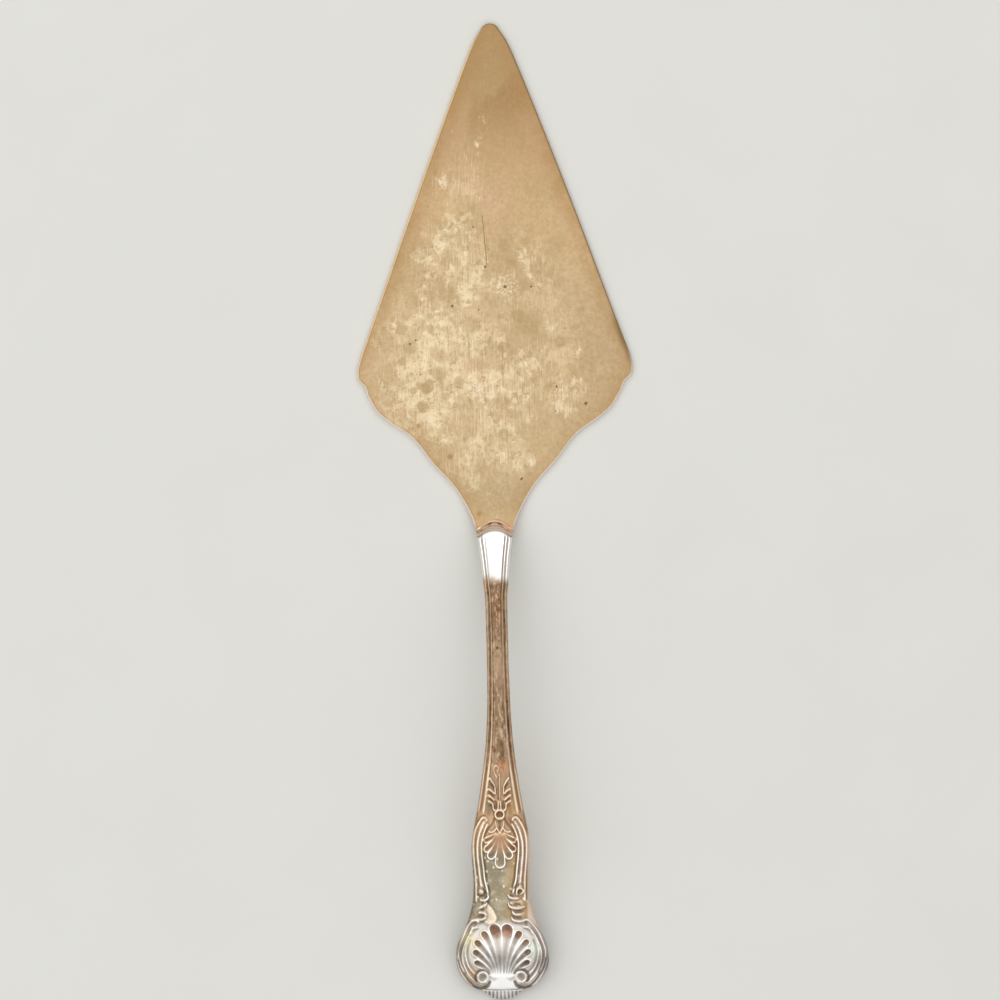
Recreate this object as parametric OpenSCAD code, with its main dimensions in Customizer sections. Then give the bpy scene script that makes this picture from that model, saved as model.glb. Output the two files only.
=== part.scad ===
// Silver-plated cake server: a flat pointed blade whose narrow tang is set in a hollow handle.
// The handle is two die-struck half shells, soldered edge to edge and filled, and its lower
// half carries a palmette, side scrolls and a scallop shell in low relief.
// The tip points along +Y, the blade's face is up, and the blade and the foot of the handle
// both touch the table at z = 0. Lengths are in millimetres.

/* [Overall] */
// Length of the blade, from its tip to the crown of the arch where the handle begins
blade_len = 134.8; // [115:0.1:155]
// Length of the handle, from its foot to the crown of the arch
handle_len = 127.2; // [112:0.1:145]

/* [Blade] */
// Width across the two corners
blade_w = 74; // [60:0.5:86]
// Thickness of the sheet
blade_t = 1.3; // [1:0.05:1.5]
// Radius of the rounded tip
tip_r = 2.6; // [1.5:0.1:4]
// Depth of the rounded step behind each corner
corner_step = 2.4; // [1.6:0.1:3.2]
// Length of the tang that runs on inside the handle
tang_len = 36; // [20:1:50]
// Width of the tang where it enters the handle
tang_root_w = 6.2; // [5:0.1:6.6]
// Width of the tang at its end
tang_end_w = 2.4; // [1.8:0.1:2.8]

/* [Handle outline] */
// Width across the scallop shell
shell_w = 25; // [22:0.2:28]
// Width of the waist above the shell
waist_w = 15; // [13.5:0.1:16.5]
// Width across the palmette
palmette_w = 15.8; // [14.5:0.1:17]
// Width of the stem where it is thinnest
stem_w = 5.8; // [5.4:0.1:6.6]
// Width of the handle's mouth, where it takes the blade
mouth_w = 9.7; // [9:0.1:10.8]
// Width of the ribbed foot
foot_w = 10.2; // [8.5:0.1:12]
// How far the crown of the arch stands ahead of the mouth's corners
arch_rise = 2.2; // [1:0.1:3]

/* [Handle section] */
// Height of the front shell's crown above the seam
front_h = 2.3; // [2.1:0.05:2.8]
// Depth of the back shell's crown below the seam
back_h = 1.9; // [1.85:0.05:2.4]
// Height of the plain side wall between the seam and the ornament
edge_h = 0.8; // [0.5:0.05:1.1]
// Thickness of the metal of each shell
wall = 0.5; // [0.35:0.05:0.6]
// Thickness of the solder line in the seam
seam_t = 0.12; // [0.06:0.02:0.2]
// How far the solder at the mouth reaches into the handle
solder_len = 6; // [3:0.5:8]

/* [Handle curve] */
// Angle at which the neck climbs from the blade
neck_angle = 28; // [22:1:32]
// Angle at which the lower handle comes down to the table
tail_angle = 17; // [14:1:19]
// Radius of the bend from the flat blade into the neck
crank_r = 24; // [18:0.5:30]
// How far ahead of the arch the bend begins
crank_lead = 10; // [8:0.5:12]

/* [Relief] */
// Height of the two threads along each edge
thread_h = 0.3; // [0.1:0.05:0.4]
// Distance from the edge to the middle of the outer thread
thread_1 = 0.5; // [0.45:0.01:0.55]
// Distance from the edge to the middle of the inner thread
thread_2 = 1.26; // [1.2:0.01:1.3]
// Depth of the flutes in the shell and the palmettes
flute_d = 0.35; // [0.1:0.05:0.4]
// Lift of the shell and the palmettes above the panel
motif_h = 0.3; // [0.1:0.05:0.4]

/* [Hidden] */

// Gap between pieces that lie against each other
clear = 0.05;
// Length by which a cutting shape runs past what it cuts
overrun = 4;
total_len = blade_len + handle_len;
tip_y = total_len / 2;
foot_y = -total_len / 2;

// Places along the handle are given as a distance from its foot, and these turn them into Y
function along(u) = foot_y + u;
mouth_u = handle_len - arch_rise;

// A smooth curve through the rows of a table of [place, value] that never overshoots them
function slope_in(t, i) = (t[i + 1][1] - t[i][1]) / (t[i + 1][0] - t[i][0]);
function slope_at(t, i) =
    i == 0 ? slope_in(t, 0)
    : i == len(t) - 1 ? slope_in(t, i - 1)
    : let (a = slope_in(t, i - 1), b = slope_in(t, i)) a * b <= 0 ? 0 : 2 * a * b / (a + b);
function row_below(t, x, i = 0) = i >= len(t) - 2 || x < t[i + 1][0] ? i : row_below(t, x, i + 1);
function smooth(t, x) =
    x <= t[0][0] ? t[0][1]
    : x >= t[len(t) - 1][0] ? t[len(t) - 1][1]
    : let (
        i = row_below(t, x),
        gap = t[i + 1][0] - t[i][0],
        s = (x - t[i][0]) / gap,
        q = 1 - s
    ) t[i][1] * q * q * (1 + 2 * s) + t[i + 1][1] * s * s * (3 - 2 * s)
        + gap * s * q * (slope_at(t, i) * q - slope_at(t, i + 1) * s);

// Where the ribbed foot meets the shell, as a share of the handle's length
notch_share = 0.0175;
// Half width of the handle from foot to mouth. The first column is a share of the handle's length.
side_rows = [
    [0, 0.25 * foot_w / 2],
    [0.002, 0.42 * foot_w / 2],
    [0.005, 0.58 * foot_w / 2],
    [0.009, 0.73 * foot_w / 2],
    [0.0135, 0.88 * foot_w / 2],
    [notch_share, foot_w / 2],
    [0.0205, 0.495 * shell_w / 2],
    [0.024, 0.585 * shell_w / 2],
    [0.030, 0.705 * shell_w / 2],
    [0.041, 0.825 * shell_w / 2],
    [0.051, 0.9 * shell_w / 2],
    [0.062, 0.952 * shell_w / 2],
    [0.072, 0.985 * shell_w / 2],
    [0.086, shell_w / 2],
    [0.101, 0.993 * shell_w / 2],
    [0.115, 0.97 * shell_w / 2],
    [0.125, 0.93 * shell_w / 2],
    [0.146, 0.828 * shell_w / 2],
    [0.168, 1.215 * waist_w / 2],
    [0.189, 1.105 * waist_w / 2],
    [0.210, 1.032 * waist_w / 2],
    [0.245, waist_w / 2],
    [0.319, palmette_w / 2],
    [0.336, 0.985 * palmette_w / 2],
    [0.379, 0.86 * palmette_w / 2],
    [0.421, 0.735 * palmette_w / 2],
    [0.463, 0.63 * palmette_w / 2],
    [0.526, 1.35 * stem_w / 2],
    [0.579, 1.155 * stem_w / 2],
    [0.632, 1.06 * stem_w / 2],
    [0.740, stem_w / 2],
    [0.790, stem_w / 2],
    [0.843, 1.025 * stem_w / 2],
    [0.885, 0.715 * mouth_w / 2],
    [0.928, 0.815 * mouth_w / 2],
    [0.9827, mouth_w / 2],
    [1, 1.05 * mouth_w / 2],
];
function side_half(u) = smooth(side_rows, u / handle_len);

// Crown of either shell from foot to mouth, as a share of its greatest height
crown_shares = [
    [0, 0.5], [0.01, 0.62], [notch_share, 0.7], [0.05, 0.88], [0.1, 1], [0.16, 0.97], [0.24, 0.9],
    [0.32, 0.97], [0.42, 0.95], [0.6, 0.88], [0.8, 0.88], [0.9, 0.95], [1, 1],
];
function crown(u, h) = h * smooth(crown_shares, u / handle_len);
// The plain side wall, lower at the foot
wall_shares = [[0, 0.5], [notch_share, 0.7], [0.06, 1], [1, 1]];
function wall_h(u) = edge_h * smooth(wall_shares, u / handle_len);

// The seam's own height above the table: the bend, the long arch, then the straight tail.
// The arch radius and the tail length follow from the angles, so that the foot meets the table.
probe_step = handle_len / 100;
foot_z = seam_t / 2
    + max([for (u = [0:probe_step:handle_len / 4]) crown(u, back_h) - u * tan(tail_angle)]);
run = handle_len + crank_lead - crank_r * sin(neck_angle);
climb = blade_t / 2 + crank_r * (1 - cos(neck_angle)) - foot_z;
cos_drop = cos(tail_angle) - cos(neck_angle);
sin_sum = sin(tail_angle) + sin(neck_angle);
tail_run = (climb * sin_sum + run * cos_drop) / (cos_drop + tan(tail_angle) * sin_sum);
arch_r = (run - tail_run) / sin_sum;
crank_y = along(handle_len) + crank_lead;
arch_y = crank_y - (crank_r + arch_r) * sin(neck_angle);
arch_z = blade_t / 2 + crank_r - (crank_r + arch_r) * cos(neck_angle);
function mid_z(y) =
    y >= crank_y ? blade_t / 2
    : y >= crank_y - crank_r * sin(neck_angle)
        ? blade_t / 2 + crank_r - sqrt(crank_r ^ 2 - (crank_y - y) ^ 2)
    : y >= foot_y + tail_run ? arch_z + sqrt(arch_r ^ 2 - (y - arch_y) ^ 2)
    : foot_z + (y - foot_y) * tan(tail_angle);
function lean(y) =
    y >= crank_y ? 0
    : y >= crank_y - crank_r * sin(neck_angle) ? asin((crank_y - y) / crank_r)
    : y >= foot_y + tail_run ? asin((y - arch_y) / arch_r)
    : -tail_angle;

// The blade. Its upper edge runs from the rounded tip to the corner, as shares of the length
// from tip to corner and of the half width. A rounded step follows, as shares of its own length
// and depth. The lower edge sweeps from the step to the neck, as shares of that length and of the
// width that it loses.
corner_share = 0.70;
upper_shares = [
    [0.045, 0.113], [0.075, 0.150], [0.105, 0.181], [0.147, 0.224], [0.5, 0.565], [0.90, 0.935],
    [0.93, 0.964], [0.95, 0.981], [0.965, 0.992], [0.98, 1], [0.995, 1],
];
lower_shares = [
    [0, 1], [0.035, 0.987], [0.07, 0.961], [0.14, 0.909], [0.17, 0.874], [0.205, 0.819],
    [0.24, 0.758], [0.295, 0.646], [0.33, 0.588], [0.365, 0.543], [0.43, 0.476], [0.50, 0.409],
    [0.57, 0.325], [0.635, 0.246], [0.70, 0.180], [0.77, 0.123], [0.84, 0.074], [0.91, 0.033], [1, 0],
];
step_shares = [[0.1, 0.02], [0.42, 0.38], [0.76, 0.85]];
corner_y = tip_y - corner_share * blade_len;
step_len = corner_step * 1.35;
step_half = blade_w / 2 - corner_step;
sweep_top = corner_y - step_len;
neck_y = along(mouth_u) + clear;
neck_half = mouth_w / 2;
curve_steps = 4;
function drawn(t) = [
    for (i = [0:len(t) - 2])
        for (k = [0:curve_steps - 1])
            let (x = t[i][0] + (t[i + 1][0] - t[i][0]) * k / curve_steps) [x, smooth(t, x)]
];
tip_arc_step = 10;
tip_flank = 68;
function blade_edge() = concat(
    [for (a = [0:tip_arc_step:tip_flank]) [tip_r * sin(a), tip_y - tip_r * (1 - cos(a))]],
    [for (p = drawn(upper_shares)) [p[1] * blade_w / 2, tip_y - p[0] * (tip_y - corner_y)]],
    [for (p = step_shares) [blade_w / 2 - p[1] * corner_step, corner_y - p[0] * step_len]],
    [for (p = concat(drawn(lower_shares), [[1, 0]]))
        [neck_half + p[1] * (step_half - neck_half), sweep_top - p[0] * (sweep_top - neck_y)]
    ]
);
// The tang narrows over the first part of its length
tang_taper_share = 0.36;
function tang_edge(grow) = [
    [tang_root_w / 2 + grow, neck_y],
    [tang_root_w / 2 + grow, along(mouth_u - arch_rise)],
    [tang_end_w / 2 + wall / 2 + grow, along(mouth_u - tang_taper_share * tang_len)],
    [tang_end_w / 2 + grow, along(mouth_u - tang_len) - grow],
];
function both_sides(edge) = concat(
    edge, [for (i = [len(edge) - 1:-1:0]) if (edge[i][0] > 0) [-edge[i][0], edge[i][1]]]
);
// A strip of the sheet seen from the side, flat and then following the handle's curve
side_steps = 60;
module sheet_side(y_from, y_to, grow) {
    ys = [for (k = [0:side_steps]) y_from + (y_to - y_from) * k / side_steps];
    half = blade_t / 2 + grow;
    polygon(concat(
        [for (y = ys) [y, mid_z(y) + half / cos(lean(y))]],
        [for (k = [side_steps:-1:0]) [ys[k], mid_z(ys[k]) - half / cos(lean(ys[k]))]]
    ));
}
module across(width) {
    rotate([90, 0, 90]) translate([0, 0, -width / 2]) linear_extrude(width) children();
}
sheet_top = max(blade_t, arch_z + arch_r) + overrun;
module plan(points) {
    translate([0, 0, -overrun]) linear_extrude(sheet_top + overrun) polygon(points);
}
module blade() color([0.78, 0.66, 0.46]) union() {
    // The flat of the blade
    difference() {
        linear_extrude(blade_t) polygon(both_sides(blade_edge()));
        translate([-blade_w, crank_y - blade_len, -overrun])
            cube([2 * blade_w, blade_len, blade_t + 2 * overrun]);
    }
    // The bent neck and the tang
    intersection() {
        plan(both_sides(concat(blade_edge(), tang_edge(0))));
        across(blade_w) sheet_side(crank_y, along(mouth_u - tang_len) - overrun, 0);
    }
}

// The rows of the shells. The cavity uses these, and the outer faces put more between them.
nose_rows = 3;
nose_len = 1.1;
solder_steps = 2;
stem_u = 0.52 * handle_len;
stem_rows = 11;
palmette_rows = 22;
shell_top_u = 0.19 * handle_len;
shell_rows = 17;
cavity_end_u = 0.0455 * handle_len;
solder_end_u = mouth_u - solder_len;
main_rows = concat(
    [for (k = [0:nose_rows - 1]) mouth_u - nose_len * k / (nose_rows - 1)],
    [for (k = [1:solder_steps]) mouth_u - nose_len - (solder_len - nose_len) * k / solder_steps],
    [for (k = [1:stem_rows]) solder_end_u - (solder_end_u - stem_u) * k / stem_rows],
    [for (k = [1:palmette_rows]) stem_u - (stem_u - shell_top_u) * k / palmette_rows],
    [for (k = [1:shell_rows]) shell_top_u - (shell_top_u - cavity_end_u) * k / shell_rows]
);
foot_shares = [
    0.041, 0.036, 0.033, 0.030, 0.024, 0.0205, notch_share, 0.0135, 0.009, 0.005, 0.002, 0,
];
foot_rows = [for (s = foot_shares) s * handle_len];
function between_rows(rows, ratio) = concat(
    [for (j = [0:len(rows) - 2]) for (k = [0:ratio - 1])
        rows[j] + (rows[j + 1] - rows[j]) * k / ratio],
    [rows[len(rows) - 1]]
);

// How far a point moves towards the blade so that the mouth's edge is an arch
arch_side_share = 0.88;
arch_fade = 9;
function bow(u, t) =
    arch_rise * max(0, 1 - (t / arch_side_share) ^ 2) * max(0, 1 - (mouth_u - u) / arch_fade) ^ 2;
function place(u, x, half, z) = let (y = along(u) + bow(u, x / half)) [x, y, mid_z(y) + z];

// Section of the cavity, boxy at the mouth and rounded further in
cavity_mouth_h = (blade_t / 2) / cos(neck_angle) + 0.4 * wall;
function cavity_power(u) = 2.4 + 3.6 * max(0, 1 - (mouth_u - u) / arch_fade);
function cavity_h(u, h) =
    let (s = min(1, (mouth_u - u) / (2 * nose_len)), full = crown(u, h) - wall)
    cavity_mouth_h + (full - cavity_mouth_h) * s * s * (3 - 2 * s);
cavity_steps = 8;
function cavity_row(u, h, shrink, side) =
    let (half = side_half(u) - wall - shrink, top = cavity_h(u, h) - shrink)
    [for (i = [0:cavity_steps])
        let (t = sin(90 * (2 * i / cavity_steps - 1)))
        place(u, t * half, half, side * (i == 0 || i == cavity_steps ? 0
            : top * (1 - abs(t) ^ cavity_power(u)) ^ (1 / cavity_power(u))))
    ];

// Relief. A bump is one high in its middle and falls to nothing at its edge.
function bump(s) = abs(s) >= 1 ? 0 : (1 - s * s) ^ 2;
function step_up(s) = s <= 0 ? 0 : s >= 1 ? 1 : s * s * (3 - 2 * s);
// A fan of flutes about a point. reach_shares gives its radius against the angle from its axis.
function fan(x, v, reach, reach_shares, pitch, offset, spread) =
    let (r = norm([x, v]), a = abs(atan2(x, v)), end = reach * smooth(reach_shares, a))
    a >= spread || r >= end ? 0
    : let (inside = step_up((end - r) / (2 * motif_h)) * step_up((spread - a) / (pitch / 4)))
        inside * (motif_h - flute_d * sin(180 * (a + offset) / pitch) ^ 2 * step_up(r / (reach / 3)));
shell_reach = 0.64 * shell_w;
shell_pitch = 11.5;
shell_spread = 5.2 * shell_pitch;
shell_shares = [[0, 0.98], [6, 1], [18, 0.94], [29, 0.86], [40, 0.75], [52, 0.62], [62, 0.5]];
shell_base_u = 0.031 * handle_len;
palm_pitch = 17;
palm_spread = 4.5 * palm_pitch;
palm_reach = 0.65 * palmette_w;
palm_shares = [[0, 1], [16, 0.8], [34, 0.68], [53, 0.5], [75, 0.33]];
palm_base_u = 0.362 * handle_len;
spray_base_u = 0.418 * handle_len;
spray_shares = [[0, 1], [16, 0.9], [34, 0.62], [53, 0.42], [75, 0.3]];
volute_r = 0.05 * shell_w;
volute_u = 0.0515 * handle_len;
volute_x = 0.212 * shell_w;
function ring(x, v, r) = bump((norm([x, v]) - r) / (0.5 * r));
function motifs(x, u) =
    fan(x, u - shell_base_u, shell_reach, shell_shares, shell_pitch, 0, shell_spread)
    + fan(x, palm_base_u - u, palm_reach, palm_shares, palm_pitch, palm_pitch / 2, palm_spread)
    + fan(x, u - spray_base_u, palm_reach, spray_shares, palm_pitch, palm_pitch / 2, palm_spread)
    + motif_h * ring(abs(x) - volute_x, u - volute_u, volute_r)
    + motif_h * ring(x, u - (palm_base_u + spray_base_u) / 2, volute_r);
// The foot's ribs run along it
rib_count = 10;
function foot_ribs(x, u) =
    u > notch_u ? 0
    : motif_h / 2 * (cos(180 * rib_count * x / (foot_w / 2)) - 1);

// Places across the shell: the wall, the two threads, then the panel between the threads
thread_gap = (thread_1 + thread_2) / 2;
panel_d = thread_2 + (thread_2 - thread_1) / 2;
edge_places = [0, 0, thread_1 / 2, thread_1, thread_gap, thread_2, panel_d];
edge_rise = [0, 0, 0.5, 1, 0, 1, 0];
least_span = 1.6 * panel_d;
function edge_d(i, half) = edge_places[i] * min(1, half / least_span);
function outer_x(i, half, panel_cols) =
    let (last = 2 * len(edge_places) + panel_cols - 1, e = len(edge_places))
    i < e ? edge_d(i, half) - half
    : i > last - e ? half - edge_d(last - i, half)
    : (half - edge_d(e - 1, half)) * (2 * (i - e + 1) / (panel_cols + 1) - 1);
function outer_rise(i, panel_cols) =
    let (last = 2 * len(edge_places) + panel_cols - 1, e = len(edge_places))
    i < e ? edge_rise[i] : i > last - e ? edge_rise[last - i] : 0;
section_power = 2.6;
// The last stretch before the mouth curls down to the blade
function nose(u) = let (q = min(1, (mouth_u - u) / nose_len)) sqrt(1 - (1 - q) ^ 2);
function outer_h(u, h) =
    let (lip = cavity_mouth_h + wall) lip + (crown(u, h) - lip) * nose(u);
notch_u = notch_share * handle_len;
// The threads fade out over the last rows before the notch
function thread_fade(u) = step_up((u - notch_u) / (foot_rows[0] - notch_u));
function outer_row(u, h, side, panel_cols, ornate) =
    let (
        half = side_half(u),
        last = 2 * len(edge_places) + panel_cols - 1,
        top = outer_h(u, h),
        low = min(wall_h(u), top)
    )
    [for (i = [0:last])
        let (
            x = outer_x(i, half, panel_cols),
            dome = (1 - min(1, abs(x / half)) ^ section_power) ^ (1 / section_power),
            body = low + (top - low) * dome,
            rise = thread_h * outer_rise(i, panel_cols) * thread_fade(u) * nose(u),
            panel = ornate && i >= len(edge_places) && i <= last - len(edge_places)
                ? motifs(x, u) : 0,
            ribs = i == 0 || i == 1 || i >= last - 1 ? 0 : foot_ribs(x, u)
        )
        place(u, x, half,
            side * (seam_t / 2 + (i == 0 || i == last ? 0 : body + rise + panel + ribs)))
    ];

// Triangles that join a fine row of points to a coarse one
function joined(fine, coarse, ratio) = [
    for (i = [0:len(coarse) - 2]) each concat(
        [for (k = [0:ratio - 1])
            [fine[ratio * i + k], fine[ratio * i + k + 1], coarse[k < ratio / 2 ? i : i + 1]]],
        [[coarse[i], fine[ratio * i + ceil(ratio / 2)], coarse[i + 1]]]
    )
];
// The strip of the seam face just past the end of the cavity, where four points lie in one line
function cavity_end(left, right, in_left, in_right, j) = [
    [left[j + 1], right[j + 1], right[j]],
    [left[j + 1], right[j], in_right],
    [left[j + 1], in_right, in_left],
    [left[j + 1], in_left, left[j]],
];
function turned(faces) = [for (f = faces) [for (k = [len(f) - 1:-1:0]) f[k]]];
// A sheet of triangles between rows of points. Each four-sided patch is split along the diagonal
// that runs with the flutes: outwards and up, or outwards and down where a motif hangs.
function hangs(u) = u < palm_base_u && u > palm_base_u - 1.1 * palm_reach;
function sheet_faces(first, us, cols) = [
    for (j = [0:len(us) - 2]) for (i = [0:cols - 2])
        let (a = first + j * cols + i, on_right = i >= (cols - 1) / 2)
        each on_right != hangs(us[j])
            ? [[a, a + 1, a + cols], [a + 1, a + cols + 1, a + cols]]
            : [[a, a + 1, a + cols + 1], [a, a + cols + 1, a + cols]]
];

// One half shell, with its cavity. side is 1 for the front and -1 for the back.
module half_shell(h, side, ratio, panel_cols, ornate) {
    outer_us = concat(between_rows(main_rows, ratio), foot_rows);
    outer_cols = 2 * len(edge_places) + panel_cols;
    inner_cols = cavity_steps + 1;
    inner_rows = len(main_rows);
    outer_points = [for (u = outer_us) each outer_row(u, h, side, panel_cols, ornate)];
    inner_points = [for (u = main_rows) each [
        for (p = cavity_row(u, h, 0, side)) [p[0], p[1], p[2] + side * seam_t / 2]]];
    base = len(outer_points);
    shared = ratio * (inner_rows - 1);
    left = [for (j = [0:len(outer_us) - 1]) j * outer_cols];
    right = [for (j = [0:len(outer_us) - 1]) (j + 1) * outer_cols - 1];
    in_left = [for (j = [0:inner_rows - 1]) base + j * inner_cols];
    in_right = [for (j = [0:inner_rows - 1]) base + (j + 1) * inner_cols - 1];
    end = len(outer_us) - 1;
    faces = concat(
        sheet_faces(0, outer_us, outer_cols),
        turned(sheet_faces(base, main_rows, inner_cols)),
        joined(left, in_left, ratio),
        turned(joined(right, in_right, ratio)),
        turned(joined(
            [for (i = [0:outer_cols - 1]) i],
            [for (i = [0:inner_cols - 1]) base + i],
            (outer_cols - 1) / (inner_cols - 1)
        )),
        [[for (i = [inner_cols - 1:-1:0]) in_left[inner_rows - 1] + i]],
        cavity_end(left, right, in_left[inner_rows - 1], in_right[inner_rows - 1], shared),
        [for (j = [shared + 1:end - 1]) [left[j + 1], right[j + 1], right[j], left[j]]],
        [[for (i = [0:outer_cols - 1]) left[end] + i]]
    );
    polyhedron(concat(outer_points, inner_points), side > 0 ? faces : turned(faces));
}
front_ratio = 2;
front_panel_cols = 27;
back_ratio = 1;
back_panel_cols = 11;
module handle_front() color([0.80, 0.76, 0.70])
    half_shell(front_h, 1, front_ratio, front_panel_cols, true);
module handle_back() color([0.74, 0.70, 0.64])
    half_shell(back_h, -1, back_ratio, back_panel_cols, false);

// The cavity as one closed tube of rows, for what fills it. Each end is closed by triangles
// between the upper and the lower half of its row.
around = 2 * cavity_steps;
function end_faces(first) = [
    for (i = [0:cavity_steps - 1])
        let (
            a = first + i,
            b = first + i + 1,
            c = first + (around - i - 1) % around,
            d = first + (around - i) % around
        )
        each concat(i == 0 ? [] : [[a, d, b]], i == cavity_steps - 1 ? [] : [[d, c, b]])
];
module cavity_tube(rows, shrink) {
    tops = [for (u = rows) cavity_row(u, front_h, shrink, 1)];
    bottoms = [for (u = rows) cavity_row(u, back_h, shrink, -1)];
    points = [for (j = [0:len(rows) - 1])
        each concat(tops[j], [for (i = [cavity_steps - 1:-1:1]) bottoms[j][i]])];
    polyhedron(points, concat(
        [for (j = [0:len(rows) - 2]) for (i = [0:around - 1])
            let (a = j * around + i, b = j * around + (i + 1) % around)
            each [[a, b, a + around], [b, b + around, a + around]]],
        end_faces(0),
        turned(end_faces((len(rows) - 1) * around))
    ));
}
// The tang's own space, cut out of what is poured round it
module tang_space() intersection() {
    plan(both_sides(concat(
        [
            [mouth_w, along(handle_len) + arch_rise],
            [mouth_w, neck_y - clear],
            [tang_root_w / 2 + clear, neck_y - clear],
        ],
        [for (i = [1:len(tang_edge(clear)) - 1]) tang_edge(clear)[i]]
    )));
    across(blade_w) sheet_side(crank_y, along(mouth_u - tang_len) - overrun, clear);
}
solder_rows = [for (k = [0:nose_rows + solder_steps - 1]) main_rows[k]];
filler_rows = concat(
    [solder_end_u - clear],
    [for (k = [nose_rows + solder_steps:len(main_rows) - 2]) main_rows[k]]
);
module handle_filler() color([0.20, 0.16, 0.13]) difference() {
    cavity_tube(filler_rows, clear);
    tang_space();
}

// The bead of solder that shows where a shell's arched edge lies on the blade's neck
bead_w = 0.7;
bead_h = 0.4;
bead_steps = 12;
module arch_bead(side) {
    ts = [for (k = [0:bead_steps]) arch_side_share * (2 * k / bead_steps - 1)];
    half = side_half(mouth_u);
    skin = blade_t / 2 + clear;
    points = [for (t = ts)
        let (
            size = 1 - 0.6 * abs(t / arch_side_share) ^ 4,
            y = along(mouth_u) + bow(mouth_u, t) + clear,
            far = y + bead_w * size
        )
        each [
            [t * half, y, mid_z(y) + side * skin / cos(lean(y))],
            [t * half, y, mid_z(y) + side * (skin / cos(lean(y)) + bead_h * size)],
            [t * half, far, mid_z(far) + side * skin / cos(lean(far))],
        ]
    ];
    last = 3 * bead_steps;
    faces = concat(
        [for (k = [0:bead_steps - 1]) for (i = [0:2])
            let (a = 3 * k + i, b = 3 * k + (i + 1) % 3)
            each [[a, b + 3, b], [a, a + 3, b + 3]]],
        [[0, 1, 2], [last + 2, last + 1, last]]
    );
    polyhedron(points, side > 0 ? turned(faces) : faces);
}
module shoulder_solder() color([0.66, 0.62, 0.56]) {
    difference() {
        cavity_tube(solder_rows, clear);
        tang_space();
    }
    arch_bead(1);
    arch_bead(-1);
}

// The solder line between the two shells, open at the mouth and closed under the foot
seam_us = concat(main_rows, foot_rows);
function seam_layer(z) = concat(
    [for (u = seam_us) place(u, -side_half(u), side_half(u), z)],
    [for (u = seam_us) place(u, side_half(u), side_half(u), z)],
    [for (u = main_rows) place(u, wall - side_half(u), side_half(u), z)],
    [for (u = main_rows) place(u, side_half(u) - wall, side_half(u), z)]
);
module seam_solder() color([0.60, 0.57, 0.52]) {
    n = len(main_rows);
    m = len(seam_us);
    half = seam_t / 2 - clear / 4;
    left = [for (j = [0:m - 1]) j];
    right = [for (j = [0:m - 1]) m + j];
    in_left = [for (j = [0:n - 1]) 2 * m + j];
    in_right = [for (j = [0:n - 1]) 2 * m + n + j];
    count = 2 * m + 2 * n;
    bottom = concat(
        joined([for (j = [0:n - 1]) left[j]], in_left, 1),
        turned(joined([for (j = [0:n - 1]) right[j]], in_right, 1)),
        cavity_end(left, right, in_left[n - 1], in_right[n - 1], n - 1),
        [for (j = [n:m - 2]) [left[j + 1], right[j + 1], right[j], left[j]]]
    );
    rim = concat(left, turned([right])[0], in_right, turned([in_left])[0]);
    polyhedron(concat(seam_layer(-half), seam_layer(half)), concat(
        bottom,
        turned([for (f = bottom) [for (i = f) i + count]]),
        [for (k = [0:len(rim) - 1])
            let (a = rim[k], b = rim[(k + 1) % len(rim)])
            each [[b, a, b + count], [b + count, a, a + count]]]
    ));
}

blade();
handle_front();
handle_back();
handle_filler();
seam_solder();
shoulder_solder();
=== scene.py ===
# %% [markdown]
# # A silver-plated cake server
# The real thing is one flat sheet of plated metal, cut to a leaf with a stepped shoulder, and a
# slim hollow handle struck in two halves from steel dies. The solid model already gives every
# piece its place and size. This script keeps those sizes and gives the pieces their surfaces:
# the softened edges and wear of the blade, the fine relief of the handle, and the tarnish.

# %% Load the frame
import math

import bpy
import numpy as np
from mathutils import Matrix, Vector


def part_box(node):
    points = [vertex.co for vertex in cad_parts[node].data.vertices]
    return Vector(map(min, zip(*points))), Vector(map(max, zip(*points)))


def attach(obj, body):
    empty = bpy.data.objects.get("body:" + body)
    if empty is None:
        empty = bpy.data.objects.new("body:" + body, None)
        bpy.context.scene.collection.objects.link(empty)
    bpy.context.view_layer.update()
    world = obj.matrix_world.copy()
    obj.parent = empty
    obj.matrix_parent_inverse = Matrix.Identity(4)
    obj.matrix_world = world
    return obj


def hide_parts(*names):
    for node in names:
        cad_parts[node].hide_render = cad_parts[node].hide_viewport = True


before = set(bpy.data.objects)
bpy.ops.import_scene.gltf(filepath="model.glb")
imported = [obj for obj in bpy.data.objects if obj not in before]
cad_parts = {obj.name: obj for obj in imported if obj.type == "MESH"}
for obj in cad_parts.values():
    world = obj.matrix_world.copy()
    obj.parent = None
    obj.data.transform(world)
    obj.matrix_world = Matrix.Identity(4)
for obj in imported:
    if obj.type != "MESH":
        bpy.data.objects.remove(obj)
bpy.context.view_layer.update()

# %% [markdown]
# ## Sizes
# Lengths below are in millimetres, because a silversmith thinks in them, and one factor turns
# them into Blender's metres. The overall sizes are read from the frame's own boxes. The rest are
# the sizes that the solids were drawn with, so that each new surface lies where its solid is.

# %% Sizes read from the frame
MM = 0.001
_, blade_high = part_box("blade")
front_low, front_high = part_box("handle_front")
tip_y = blade_high[1] / MM
foot_y = front_low[1] / MM
handle_len = (front_high[1] - front_low[1]) / MM
blade_len = tip_y - foot_y - handle_len
blade_w = 2 * blade_high[0] / MM
shell_w = 2 * front_high[0] / MM
print(f"blade {blade_len:.1f} x {blade_w:.1f} mm, handle {handle_len:.1f} x {shell_w:.1f} mm")

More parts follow.
